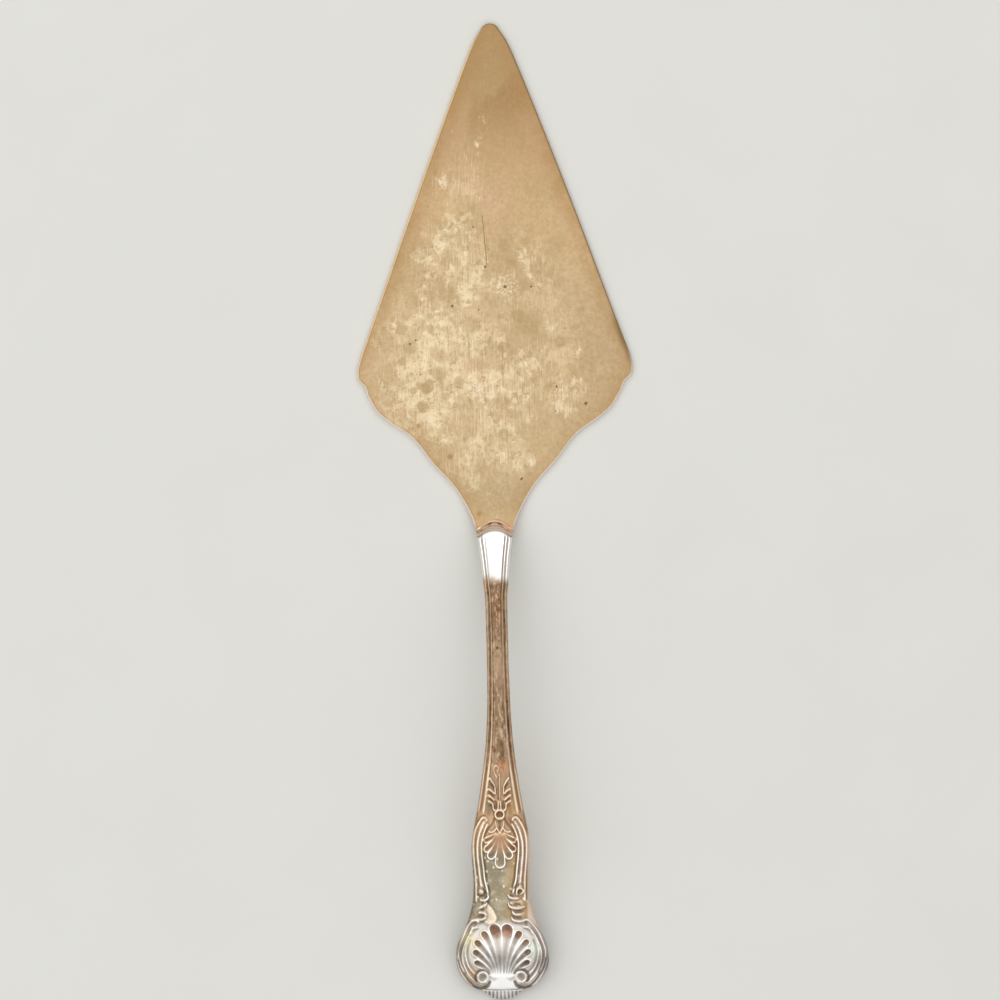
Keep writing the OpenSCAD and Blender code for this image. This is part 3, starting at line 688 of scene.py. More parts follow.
# %% Closed mesh from two surfaces
def joined_rows(a, b):
    """Triangles between two rows of vertex numbers of different lengths."""
    faces = []
    i = j = 0
    while i < len(a) - 1 or j < len(b) - 1:
        behind = (i + 1) / (len(a) - 1) <= (j + 1) / (len(b) - 1)
        if j == len(b) - 1 or (i < len(a) - 1 and behind):
            faces.append((a[i], a[i + 1], b[j]))
            i += 1
        else:
            faces.append((a[i], b[j + 1], b[j]))
            j += 1
    return faces


def squares(numbers):
    a, b = numbers[:-1, :-1], numbers[:-1, 1:]
    c, d = numbers[1:, 1:], numbers[1:, :-1]
    return np.stack([a, b, c, d], 2).reshape(-1, 4).tolist()


def end_strip(a, b):
    if len(a) == len(b):
        return squares(np.stack([a, b]))
    return joined_rows(a.tolist(), b.tolist())


def turned(faces):
    return [tuple(reversed(face)) for face in faces]


def closed_shell(outer, inner):
    """The points and faces of one closed mesh between two surfaces."""
    outer_count = outer.shape[0] * outer.shape[1]
    out_no = np.arange(outer_count).reshape(outer.shape[:2])
    in_no = outer_count + np.arange(inner.shape[0] * inner.shape[1]).reshape(inner.shape[:2])
    faces = turned(squares(out_no)) + squares(in_no)
    faces += squares(np.stack([out_no[:, 0], in_no[:, 0]], 1))
    faces += turned(squares(np.stack([out_no[:, -1], in_no[:, -1]], 1)))
    faces += turned(end_strip(in_no[0], out_no[0]))
    faces += end_strip(in_no[-1], out_no[-1])
    return np.concatenate([outer.reshape(-1, 3), inner.reshape(-1, 3)]), faces


def mesh_object(name, points, faces, crease_deg, attributes=None):
    mesh = bpy.data.meshes.new(name)
    mesh.from_pydata((np.asarray(points) * MM).tolist(), [], faces)
    for key, values in (attributes or {}).items():
        layer = mesh.attributes.new(key, "FLOAT", "POINT")
        layer.data.foreach_set("value", np.asarray(values, dtype=np.float32))
    mesh.shade_smooth()
    mesh.set_sharp_from_angle(angle=math.radians(crease_deg))
    mesh.update()
    piece = bpy.data.objects.new(name, mesh)
    bpy.context.scene.collection.objects.link(piece)
    print(name, "has", len(faces), "faces")
    return piece


# %% [markdown]
# ## Where tarnish gathers
# Polish reaches the ridges and never the hollows, so tarnish maps the relief. The height map is
# blurred and the blurred height is compared with the real one: a point that lies below its
# surroundings is a hollow. A shader can find hollows too, but this way the result is kept on the
# mesh as a number for each vertex, which any renderer can read.

# %% Hollowness of each point
def hollowness(relief, reach=4):
    heights = relief.heights()
    return blurred(blurred(heights, reach), reach) - heights


def half_shell(name, height, sunk, side):
    us, halves, relief, outer = outer_surface(height, sunk, side)
    inner = inner_surface(us, halves, height, side)
    points, faces = closed_shell(outer, inner)
    if side < 0:
        faces = turned(faces)
    hollow = hollowness(relief)
    attributes = {}
    for key, grid, inside in [("hollow", hollow, 0.3), ("stain", relief.layers["stain"], 0.0),
                              ("pale", relief.layers["pale"], 0.0),
                              ("lip", mouth_u - relief.u, 0.0)]:
        inner_values = np.full(inner.shape[0] * inner.shape[1], inside)
        attributes[key] = np.concatenate([with_walls(grid).ravel(), inner_values])
    print(f"hollowness from {hollow.min():.3f} to {hollow.max():.3f} mm")
    return mesh_object(name, points, faces, 60, attributes)


front = half_shell("front_shell", front_h, 0.0, 1)
back = half_shell("back_shell", back_h, 0.3, -1)
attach(front, "root")
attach(back, "root")
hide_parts("handle_front")
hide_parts("handle_back")

# %% [markdown]
# ## The blade
# The blade is cut from sheet, so its outline is everything: straight flanks from a small round
# tip, a step behind each corner, and a double curve down to the neck. Its edges are not sharp:
# polishing has rounded them. A bevelled outline would give them one even radius. Here the grid's
# rows follow the outline, and each point's distance from it sets how far the face falls away.

# %% Outline of the blade
corner_share = 0.70
corner_y = tip_y - corner_share * blade_len
step_len = corner_step * 1.35
step_half = blade_w / 2 - corner_step
neck_y = foot_y + mouth_u + clear
neck_half = mouth_w / 2
sweep_top = corner_y - step_len
upper_shares = [
    (0.045, 0.113), (0.075, 0.150), (0.105, 0.181), (0.147, 0.224), (0.5, 0.565), (0.90, 0.935),
    (0.93, 0.964), (0.95, 0.981), (0.965, 0.992), (0.98, 1), (0.995, 1),
]
lower_shares = [
    (0, 1), (0.035, 0.987), (0.07, 0.961), (0.14, 0.909), (0.17, 0.874), (0.205, 0.819),
    (0.24, 0.758), (0.295, 0.646), (0.33, 0.588), (0.365, 0.543), (0.43, 0.476), (0.50, 0.409),
    (0.57, 0.325), (0.635, 0.246), (0.70, 0.180), (0.77, 0.123), (0.84, 0.074), (0.91, 0.033),
    (1, 0),
]
step_shares = [(0.1, 0.02), (0.42, 0.38), (0.76, 0.85)]


def drawn(shares, steps=4):
    """The rows of a table with smooth rows put in between."""
    curve = curve_through(shares)
    places = [a + (b - a) * k / steps for (a, _), (b, _) in zip(shares[:-1], shares[1:])
              for k in range(steps)]
    return [(place, float(curve(place))) for place in places] + [shares[-1]]


def blade_edge():
    """Half widths against Y, from the tip down to the neck."""
    tip = [(tip_y - tip_r * (1 - math.cos(a)), tip_r * math.sin(a))
           for a in np.radians(np.arange(0, 70, 5))]
    upper = [(tip_y - s * (tip_y - corner_y), w * blade_w / 2) for s, w in drawn(upper_shares)]
    step = [(corner_y - a * step_len, blade_w / 2 - b * corner_step) for a, b in step_shares]
    lower = [(sweep_top - s * (sweep_top - neck_y), neck_half + w * (step_half - neck_half))
             for s, w in drawn(lower_shares)]
    return np.array(tip + upper + step + lower)


edge_line = blade_edge()
print("blade outline:", len(edge_line), "points on each side")

# %% The blade's grid
blade_cols = 64
blade_step = 0.6
rim_r = 0.42
rim_fall = 0.86
rim_gaps = np.array([0, 0.03, 0.09, 0.18, 0.3, 0.45, 0.7, 1.1, 1.8])
narrow_half = 3.2
far = 99.0


def blade_rows():
    round_end = tip_y - tip_r
    ys = np.concatenate([
        np.linspace(tip_y - 0.004, round_end, 14),
        np.arange(round_end - blade_step, corner_y + 2, -blade_step),
        np.arange(corner_y + 2, sweep_top - 1, -0.12),
        np.arange(sweep_top - 1, neck_y + 5, -0.4),
        np.arange(neck_y + 5, neck_y + 0.3, -0.12),
        np.linspace(neck_y + 0.3, neck_y + 0.002, 5),
    ])
    return ys, np.interp(-ys, -edge_line[:, 0], edge_line[:, 1])


def tang_rows():
    taper_share = 0.36
    mouth_y = foot_y + mouth_u
    places = [neck_y - 0.002, neck_y - arch_rise, mouth_y - taper_share * tang_len,
              mouth_y - tang_len]
    halves = [tang_root_w / 2, tang_root_w / 2, tang_end_w / 2 + wall / 2, tang_end_w / 2]
    ys = np.concatenate([np.linspace(a, b, 12, endpoint=False)
                         for a, b in zip(places[:-1], places[1:])] + [places[-1:]])
    return ys, np.interp(-ys, -np.array(places), halves)


def outline_gap(x, y):
    """Distance of each point of the face from the blade's outline."""
    line = edge_line[:, ::-1]
    gap = np.full(x.shape, far)
    for a, b in zip(line[:-1], line[1:]):
        gap = np.minimum(gap, distance_to(a, b, np.abs(x), y)[0])
    return gap


def blade_piece():
    """The sheet with its rounded rim, and a low lap of plate round the mouth of the handle."""
    lap_h, lap_len = 0.1, 1.15
    blade_ys, blade_halves = blade_rows()
    tang_ys, tang_halves = tang_rows()
    ys = np.concatenate([blade_ys, tang_ys])
    halves = np.concatenate([blade_halves, tang_halves])
    shares = [full_row(rim_gaps * min(1, half / narrow_half) / half - 1, blade_cols)
              for half in halves]
    x = np.array(shares) * halves[:, None]
    y = np.repeat(ys[:, None], x.shape[1], 1)
    gap = outline_gap(x, y)
    tang = slice(len(blade_ys), None)
    gap[tang] = tang_halves[:, None] - np.abs(x[tang])
    gap[:, [0, -1]] = 0
    q = np.clip(gap / rim_r, 0, 1)
    rounding = blade_t / 2 * (1 - rim_fall * (1 - np.sqrt(np.clip(1 - (1 - q) ** 2, 0, 1))))
    arch_gap = y - (foot_y + mouth_u + bow(np.full(x.shape, mouth_u), x / neck_half))
    lap = lap_h * ease((lap_len - arch_gap) / 0.3) * ease(gap / 0.5)
    slope = np.cos(lean(y))
    place_y = y + corner_tilt * x * ease(y / 10)
    top = np.stack([x + sway(y), place_y, mid_z(y) + (rounding + lap) / slope], 2)
    bottom = np.stack([x + sway(y), place_y, mid_z(y) - rounding / slope], 2)
    points, faces = closed_shell(top, bottom)
    edge = np.concatenate([gap.ravel(), gap.ravel()])
    arch = np.concatenate([arch_gap.ravel(), np.full(arch_gap.size, far)])
    return mesh_object("blade_sheet", points, faces, 40, {"edge": edge, "arch": arch})


blade = blade_piece()
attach(blade, "root")
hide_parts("blade")

# %% [markdown]
# ## Solder
# The two shells are joined edge to edge with hard solder, which shows as a fine line along each
# side. At the mouth a bead of solder closes the arch against the blade, above and below, and a
# plug of it fills the gap inside. Curves with a round bevel could stand for both, but the line is
# a thin slab that has to lie exactly between the shells, and each bead thins towards its ends. So
# both are rings of points carried along a path, which one function closes into a mesh.

# %% Rings of points into a closed bar
def closed_bar(rings, first, inside_out):
    """Faces of a bar from an array of rings, whose points are numbered from `first`."""
    numbers = first + np.arange(rings.shape[0] * rings.shape[1]).reshape(rings.shape[:2])
    loop = np.concatenate([numbers, numbers[:, :1]], 1)
    ends = [tuple(numbers[0][::-1].tolist()), tuple(numbers[-1].tolist())]
    faces = squares(loop) + ends
    return turned(faces) if inside_out else faces


def paired_bars(name, bars, flips, crease_deg):
    """Two bars of the same kind as one piece."""
    faces = closed_bar(bars[0], 0, flips[0])
    faces += closed_bar(bars[1], bars[0].shape[0] * bars[0].shape[1], flips[1])
    points = np.concatenate([bar.reshape(-1, 3) for bar in bars])
    return mesh_object(name, points, faces, crease_deg)


# %% Solder line in the seam
def seam_line():
    us = row_places()[::3]
    half = (seam_t - clear / 2) / 2
    halves = side_half(us)
    inside = np.where(us > 0.045 * handle_len, halves - 1.2 * wall, 0)
    ring = []
    for x, z in [(-halves, -half), (-halves, half), (-inside, half), (-inside, -half)]:
        y = foot_y + us + bow(us, x / halves)
        ring.append(np.stack([x + sway(y), y, mid_z(y) + z], 1))
    left = np.stack(ring, 1)
    right = left.copy()
    right[:, :, 0] = 2 * sway(right[:, :, 1]) - right[:, :, 0]
    return paired_bars("seam_line", [left, right], (True, False), 50)


seam = seam_line()
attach(seam, "root")
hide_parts("seam_solder")


# %% Beads round the mouth
def arch_bead(side, steps=48, sides=12):
    """One bead along the arch, above the blade for side 1 and below it for side -1."""
    radius = 0.3
    share = np.linspace(-arch_side_share, arch_side_share, steps + 1)[:, None]
    angle = 2 * math.pi * np.arange(sides)[None, :] / sides
    y = foot_y + mouth_u + bow(mouth_u, share) + 0.5 * radius
    size = radius * (1 - 0.65 * np.abs(share / arch_side_share) ** 5)
    middle = mid_z(y) + side * (blade_t / 2 / np.cos(lean(y)) + 0.2 * size)
    x = share * neck_half + sway(y) + 0 * angle
    return np.stack([x, y + size * np.cos(angle), middle + size * np.sin(angle)], 2)


beads = paired_bars("arch_beads", [arch_bead(1), arch_bead(-1)], (False, False), 80)
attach(beads, "root")
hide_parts("shoulder_solder")

# %% [markdown]
# ## Materials
# Silver plate is a mirror with a history. Its colour comes mostly from what has grown on it, and
# in a few places from painted reflection, highlight and shade, so each material starts as one tone
# and is painted over, coat by coat, through masks that follow the form or a noise. The same masks
# set the roughness, because tarnished metal is duller. The nodes could be laid out by hand in the
# editor, but such long chains read better as sums. A `Mask` is a number that changes over the
# surface, and a `Finish` is a material with its coats.

# %% Masks and coats
def tone(red, green, blue):
    """A colour as seen on a screen, from 0 to 255, turned into the linear light Blender uses."""
    linear = []
    for value in (red, green, blue):
        share = value / 255
        linear.append(share / 12.92 if share <= 0.04045 else ((share + 0.055) / 1.055) ** 2.4)
    return (*linear, 1.0)


class Mask:
    """One output of a node. Sums with it add nodes, and a | b is the larger of the two."""

    def __init__(self, finish, socket):
        self.finish = finish
        self.socket = socket

    def maths(self, operation, other=0.0):
        return self.finish.add("Math", 0, {0: self, 1: other}, operation=operation)

    def __add__(self, other):
        return self.maths("ADD", other)

    def __sub__(self, other):
        return self.maths("SUBTRACT", other)

    def __rsub__(self, number):
        return self.finish.add("Math", 0, {0: number, 1: self}, operation="SUBTRACT")

    def __mul__(self, other):
        return self.maths("MULTIPLY", other)

    def __truediv__(self, other):
        return self.maths("DIVIDE", other)

    def __or__(self, other):
        return self.maths("MAXIMUM", other)

    def __abs__(self):
        return self.maths("ABSOLUTE")

    def ramp(self, low, high, to_low=0.0, to_high=1.0):
        """Goes smoothly from to_low at low to to_high at high."""
        return self.finish.add("MapRange", "Result", {
            "Value": self, "From Min": low, "From Max": high, "To Min": to_low,
            "To Max": to_high}, interpolation_type="SMOOTHSTEP")


class Finish:
    """A material. Places are in metres inside the nodes, and spots are given in millimetres."""

    def __init__(self, name):
        self.material = bpy.data.materials.new(name)
        self.material.use_nodes = True
        self.tree = self.material.node_tree
        self.shader = self.tree.nodes["Principled BSDF"]
        self.place = self.add("TexCoord", "Object")

    def add(self, kind, output, inputs=None, **settings):
        """Adds a node, sets and feeds it, and gives back one of its outputs."""
        node = self.tree.nodes.new("ShaderNode" + kind)
        for key, value in settings.items():
            setattr(node, key, value)
        for key, value in (inputs or {}).items():
            self.feed(node.inputs[key], value)
        return Mask(self, node.outputs[output])

    def feed(self, socket, value):
        if isinstance(value, Mask):
            self.tree.links.new(value.socket, socket)
        else:
            socket.default_value = value

    def axes(self):
        parts = self.add("SeparateXYZ", "X", {"Vector": self.place}).socket.node
        return [Mask(self, parts.outputs[axis]) for axis in "XYZ"]

    def attribute(self, name):
        return self.add("Attribute", "Fac", attribute_name=name)

    def stretched(self, scale, shift=(0, 0, 0), degrees=0):
        return self.add("Mapping", "Vector", {
            "Vector": self.place, "Scale": scale, "Location": shift,
            "Rotation": (0, 0, math.radians(degrees))})

    def noise(self, scale, detail=4.0, rough=0.55, place=None, distortion=0.0):
        return self.add("TexNoise", "Fac", {
            "Vector": place or self.place, "Scale": scale, "Detail": detail, "Roughness": rough,
            "Distortion": distortion})

    def cells(self, scale, place=None):
        """Cells with a random middle each: the distance from it, and a value of the cell's own."""
        away = self.add("TexVoronoi", "Distance", {"Vector": place or self.place, "Scale": scale})
        return away, Mask(self, away.socket.node.outputs["Color"])

    def vectors(self, operation, a, b, output="Vector"):
        return self.add("VectorMath", output, {0: a, 1: b}, operation=operation)

    def warped(self, scale, amount):
        """The place, pushed about a little by a noise, so that round forms turn uneven."""
        noise = self.add("TexNoise", "Color", {"Vector": self.place, "Scale": scale,
                                               "Detail": 3.0})
        centred = self.vectors("SUBTRACT", noise, (0.5, 0.5, 0.5))
        push = self.add("VectorMath", "Vector", {0: centred, "Scale": amount * MM},
                        operation="SCALE")
        return self.vectors("ADD", self.place, push)

    def spot(self, x, y, radius, soft, place=None):
        """A mask that is 1 on a round spot of the face and 0 off it."""
        face = self.add("Mapping", "Vector", {"Vector": place or self.place, "Scale": (1, 1, 0)})
        away = self.vectors("DISTANCE", face, (x * MM, y * MM, 0), "Value")
        return away.ramp(radius * MM, radius * (1 - soft) * MM)

    def dash(self, x, y, length, width, degrees=90.0, soft=0.5):
        """A mask that is 1 on a short stroke of the face, turned from the X axis."""
        stroke = self.add("Mapping", "Vector", {
            "Vector": self.place, "Location": (x * MM, y * MM, 0),
            "Rotation": (0, 0, math.radians(degrees)),
            "Scale": (0.5 * length * MM, 0.5 * width * MM, 1)}, vector_type="TEXTURE")
        away = self.add("VectorMath", "Value", {0: stroke}, operation="LENGTH")
        return away.ramp(1.0, 1.0 - soft)

    def mix(self, mask, under, over, blend="MIX"):
        """One colour over another. Each is a node's output, or red, green and blue on a screen."""
        under, over = [tone(*c) if isinstance(c, tuple) else c for c in (under, over)]
        return self.add("Mix", "Result", {"Factor": mask, "A": under, "B": over},
                        data_type="RGBA", blend_type=blend)

    def paint(self, mask, over):
        """Lays one more coat over the colour so far."""
        self.colour = self.mix(mask, self.colour, over)

    def paint_spots(self, spots, soft, place=None, tint=None, through=1.0):
        """Round spots: middle, radius and strength, and a tint of their own if they have one."""
        for x, y, radius, strength, *own in spots:
            mask = self.spot(x, y, radius, soft, place)
            mask = mask * through if isinstance(through, Mask) else mask
            self.paint(mask * strength, tuple(own) or tint)

    def bump(self, height, strength, distance, normal=None):
        inputs = {"Height": height, "Strength": strength, "Distance": distance}
        if normal is not None:
            inputs["Normal"] = normal
        return self.add("Bump", "Normal", inputs)

    def finish(self, rough, normal=None, metallic=1.0):
        self.feed(self.shader.inputs["Base Color"], self.colour)
        self.feed(self.shader.inputs["Roughness"], rough)
        self.feed(self.shader.inputs["Metallic"], metallic)
        if normal is not None:
            self.feed(self.shader.inputs["Normal"], normal)
        print(self.material.name, "has", len(self.tree.nodes), "nodes")
        return self.material


def any_of(masks):
    """The largest of several masks."""
    largest = masks[0]
    for mask in masks[1:]:
        largest = largest | mask
    return largest


# %% [markdown]
# ## Finish of the blade
# The blade's champagne is partly plate that has toned and partly a painted reflection of the warm,
# dim room overhead. Use has rubbed paler patches into it, knives have drawn fine scratches along
# it, and a few round spots and pits mark where food once lay. The tone is deeper at the tip and
# along the edges. A painted picture could show all of this, but noises at the real scale of each
# mark stay sharp from any distance. Only the marks that stand in a known place are set one by one.

# %% Tone and wear of the blade
def blade_zones(f):
    """Places, in millimetres, where the face is worn: middle, half sizes, strength."""
    zones = [(-8, 84, 9, 16, 0.5), (-11, 66, 9, 12, 0.8), (-14, 45, 17, 15, 1.0),
             (-18, 28, 15, 9, 0.9), (2, 32, 20, 12, 0.8), (-4, 16, 14, 9, 0.68),
             (8, 58, 12, 14, 0.5), (15, 38, 9, 13, 0.62), (0, 2, 9, 9, 0.25)]
    ragged = (f.noise(120, 5, 0.6) - 0.5) * 5.0
    masks = []
    for middle_x, middle_y, half_x, half_y, strength in zones:
        off_x = (f.x - middle_x * MM) / (half_x * MM)
        off_y = (f.y - middle_y * MM) / (half_y * MM)
        square = off_x * off_x + off_y * off_y
        masks.append((square + ragged).ramp(1.9, 0.0, 0.0, strength))
    return any_of(masks)


def toned_and_reflected_base(f):
    """Champagne, partly toned plate and partly a painted reflection of the warm room overhead,
    deeper towards the tip, with soft clouds of olive and of rose.
    """
    # The champagne is partly toned plate and partly a painted reflection of the warm room
    # overhead.
    f.colour = f.mix(f.y.ramp(0.045, 0.085), (222, 196, 157), (217, 185, 142))
    f.paint(f.y.ramp(0.080, 0.124), (162, 123, 78))
    smooth_side = f.x.ramp(0.012, 0.026) * f.y.ramp(0.075, 0.045)
    f.paint(smooth_side * 0.65, (194, 166, 129))
    f.paint(f.y.ramp(0.020, -0.004, 0, 0.9), (186, 163, 126))
    olive = f.noise(48, 5, 0.55, f.stretched((1, 0.75, 1), (3, 1, 2)))
    f.paint(olive.ramp(0.47, 0.6, 0, 0.5), (200, 173, 130))
    rose = f.noise(60, 4, 0.55, f.stretched((1, 0.7, 1), (8, 5, 1)))
    f.paint(rose.ramp(0.52, 0.64, 0, 0.5), (214, 176, 144))
    smudge = f.noise(1, 4, 0.55, f.stretched((420, 170, 1)))
    f.paint(smudge.ramp(0.52, 0.66, 0, 0.22) * f.y.ramp(0.09, 0.06), (232, 206, 168))
    grain = f.noise(1150, 4, 0.62)
    calm = f.y.ramp(0.070, 0.110, 1.0, 0.35)
    f.paint(grain.ramp(0.51, 0.61, 0, 0.2) * calm, (240, 218, 180))
    f.paint(grain.ramp(0.49, 0.39, 0, 0.26) * calm, (174, 142, 98))


def worn_face(f, worn, patch, fleck):
    """Pale patches where the face is worn, with bright and dull flecks in them."""
    f.paint(worn * 0.3, (230, 208, 170))
    threshold = patch + worn.ramp(0, 1, -0.03, 0.13)
    f.paint(threshold.ramp(0.6, 0.64) * 0.6, (244, 223, 184))
    cloud = f.noise(78, 7, 0.66) + worn.ramp(0, 1, -0.08, 0.08)
    f.paint(cloud.ramp(0.575, 0.61, 0, 0.36), (240, 218, 178))
    f.paint(cloud.ramp(0.52, 0.47, 0, 0.2), (186, 157, 114))
    glint = fleck.ramp(0.53, 0.57) * threshold.ramp(0.56, 0.68)
    f.paint(glint * 0.65, (250, 236, 208))
    dull = fleck.ramp(0.455, 0.41) * threshold.ramp(0.5, 0.6)
    f.paint(dull * 0.55, (180, 150, 106))
    away, own = f.cells(560)
    speck = away.ramp(0.16, 0.07) * own.ramp(0.55, 0.65)
    f.paint(speck * worn.ramp(0.1, 0.6, 0, 0.38), (140, 108, 72))


def drop_marks(f, worn):
    """Round marks with crisp edges, where drops dried. Each cell holds one of its own size."""
    for scale, shift, strength in [(125, (0, 0, 0), 0.34), (230, (4, 9, 2), 0.3)]:
        away, own = f.cells(scale, f.vectors("ADD", f.warped(230, 4.5), shift))
        drop = (away - own * 0.42).ramp(0.16, 0.08) * worn.ramp(0.0, 0.5, 0.15, 1.0)
        f.paint(drop * strength, (190, 162, 118))


def brushed_lines(f, worn):
    """Fine marks that run along the blade and a few that cross them at a slant."""
    strokes = [f.noise(1, 3, 0.6, f.stretched(scale, (shift, 0, 0), degrees))
               for degrees, scale, shift in [(0, (2300, 170, 1), 0), (3, (2900, 260, 1), 3),
                                             (-9, (2600, 330, 1), 7)]]
    lines = sum(strokes[1:], strokes[0]) * (1 / 3)
    shown = worn.ramp(0.05, 0.7, 0.12, 1.0)
    dark = lines.ramp(0.48, 0.39) * shown
    f.paint(lines.ramp(0.52, 0.62) * shown * 0.56, (248, 230, 198))
    f.paint(dark * 0.52, (182, 150, 108))
    return dark


# %% Single marks on the blade
def rays(f, middle_x, middle_y):
    """Fine broken lines that run out from one point of the face, in millimetres."""
    off_x = f.x - middle_x * MM
    off_y = f.y - middle_y * MM
    away = (off_x * off_x + off_y * off_y).maths("SQRT")
    round_it = off_y.maths("ARCTAN2", off_x)
    place = f.add("CombineXYZ", "Vector", {"X": round_it, "Y": away * 260})
    return f.noise(3.4, 4, 0.6, place).ramp(0.5, 0.57)


def stains(f):
    """Round stains, softer clouds, one burst of rays, and cream where the tone is rubbed off."""
    round_stains = [
        (-18.1, 33.6, 2.3, 0.8), (-21.9, 32.8, 1.3, 0.65), (-19.5, 28.3, 2.1, 0.65),
        (-24.8, 49.1, 1.9, 0.5), (-19.6, 49.1, 1.3, 0.5), (-29.2, 46.8, 2.9, 0.4),
        (-28.6, 30.5, 2.6, 0.5), (-12.4, 58.4, 3.1, 0.45), (-5.8, 50.2, 3.0, 0.4),
        (6.6, 52.2, 2.3, 0.55), (2.5, 44.0, 1.9, 0.65), (17.8, 45.3, 2.1, 0.6),
        (3.0, 71.2, 2.0, 0.45), (9.1, 72.4, 1.5, 0.4), (-8.2, 79.0, 2.0, 0.45),
        (2.6, 20.5, 2.6, 0.35), (-13.0, 31.0, 1.5, 0.5), (14.6, 33.0, 1.7, 0.35),
        (-17.0, 49.0, 1.4, 0.5), (-22.4, 44.2, 2.2, 0.45), (-24.7, 40.5, 1.3, 0.5),
        (-14.8, 37.1, 2.3, 0.45), (-9.6, 34.8, 1.8, 0.4), (10.9, 35.3, 1.4, 0.4)]
    clouds = [(9.4, 50.4, 4.6, 0.6), (5.0, 41.6, 3.0, 0.45), (4.9, 66.8, 2.8, 0.5),
              (16.8, 71.8, 5.0, 0.4), (0.5, 56.2, 2.6, 0.4), (8.7, 61.1, 2.6, 0.4),
              (-13.4, 41.6, 2.6, 0.4), (23.6, 54.3, 1.2, 0.5), (-3.0, 12.0, 4.0, 0.3)]
    cream = [(-6.6, 58.6, 4.6, 0.7), (-9.4, 55.0, 3.6, 0.6), (-14.2, 51.0, 3.6, 0.8),
             (-9.2, 78.0, 4.0, 0.6), (-8.8, 70.5, 3.6, 0.55), (-17.5, 45.5, 3.6, 0.6),
             (-15.2, 26.5, 3.4, 0.6), (-6.0, 7.5, 4.0, 0.5), (-15.2, 52.2, 2.6, 0.9),
             (-18.2, 47.2, 2.4, 0.8), (-7.6, 56.4, 2.6, 0.7), (-21.0, 26.4, 2.6, 0.6),
             (-26.6, 38.0, 1.8, 0.5), (9.6, 38.4, 3.4, 0.4), (-4.2, 62.6, 3.0, 0.6)]
    burst = (3.2, 60.2)
    torn = f.noise(430, 5, 0.7)
    patchy = torn.ramp(0.60, 0.46, 0.68, 1.0)
    uneven = f.warped(210, 1.5)
    f.paint_spots(round_stains, 0.4, uneven, (184, 154, 110), patchy)
    f.paint_spots(clouds, 0.85, uneven, (184, 154, 112), patchy)
    f.paint(f.spot(*burst, 5.5, 0.9) * rays(f, *burst) * 0.85, (250, 230, 198))
    f.paint_spots(cream, 0.9, f.warped(420, 9.0), (248, 230, 194), torn.ramp(0.44, 0.54))


def scratches(f):
    """One long fine scratch, and short drawn lines: middle, length, width, angle, strength."""
    drawn_lines = [(2.3, 38.0, 17.0, 0.7, 90, 0.4), (-6.8, 44.5, 11.0, 0.5, 92, 0.3),
                   (-10.6, 33.6, 6.0, 0.4, 168, 0.55), (-12.2, 47.5, 9.0, 0.6, 88, 0.3),
                   (6.2, 30.5, 13.0, 0.5, 91, 0.3), (-1.8, 57.0, 5.5, 0.5, 128, 0.3)]
    slant, middle_x = 0.082, 0.00384
    off_line = abs(f.x + f.y * slant - middle_x)
    scratch = off_line.ramp(0.00016, 0.00004) * f.noise(160).ramp(0.35, 0.5)
    scratch = scratch * (f.y.ramp(0.0655, 0.0665) * f.y.ramp(0.0800, 0.0790))
    f.paint(scratch * 0.7, (122, 94, 62))
    faint = f.noise(300, 3).ramp(0.42, 0.56)
    for x, y, length, width, degrees, strength in drawn_lines:
        f.paint(f.dash(x, y, length, width, degrees) * faint * strength, (140, 108, 70))


def rust_and_pits(f):
    """Four rusty specks, and small deep pits, whose mask is given back."""
    rust = any_of([f.spot(-20.6, 23.2, 1.0, 0.8), f.spot(-12.2, 14.8, 1.2, 0.8),
                   f.spot(-4.6, -0.6, 1.1, 0.8), f.spot(34.2, 48.7, 0.9, 0.7)])
    f.paint(rust * 0.55, (160, 106, 62))
    pits = [(24.5, 28.6, 0.45), (7.0, 8.6, 0.35), (16.7, 33.2, 0.22), (16.3, 26.6, 0.2),
            (3.2, 60.2, 0.36), (-11.0, 55.2, 0.36), (-20.9, 46.2, 0.25), (-22.6, 45.2, 0.25),
            (-2.1, 65.6, 0.3), (10.2, 60.2, 0.25), (-5.2, 76.4, 0.22), (-3.9, 54.1, 0.2)]
    uneven = f.warped(1500, 0.7)
    holes = any_of([f.spot(x, y, 1.5 * radius, 0.7, uneven) for x, y, radius in pits])
    f.paint(holes * 0.85, (112, 82, 54))
    return holes


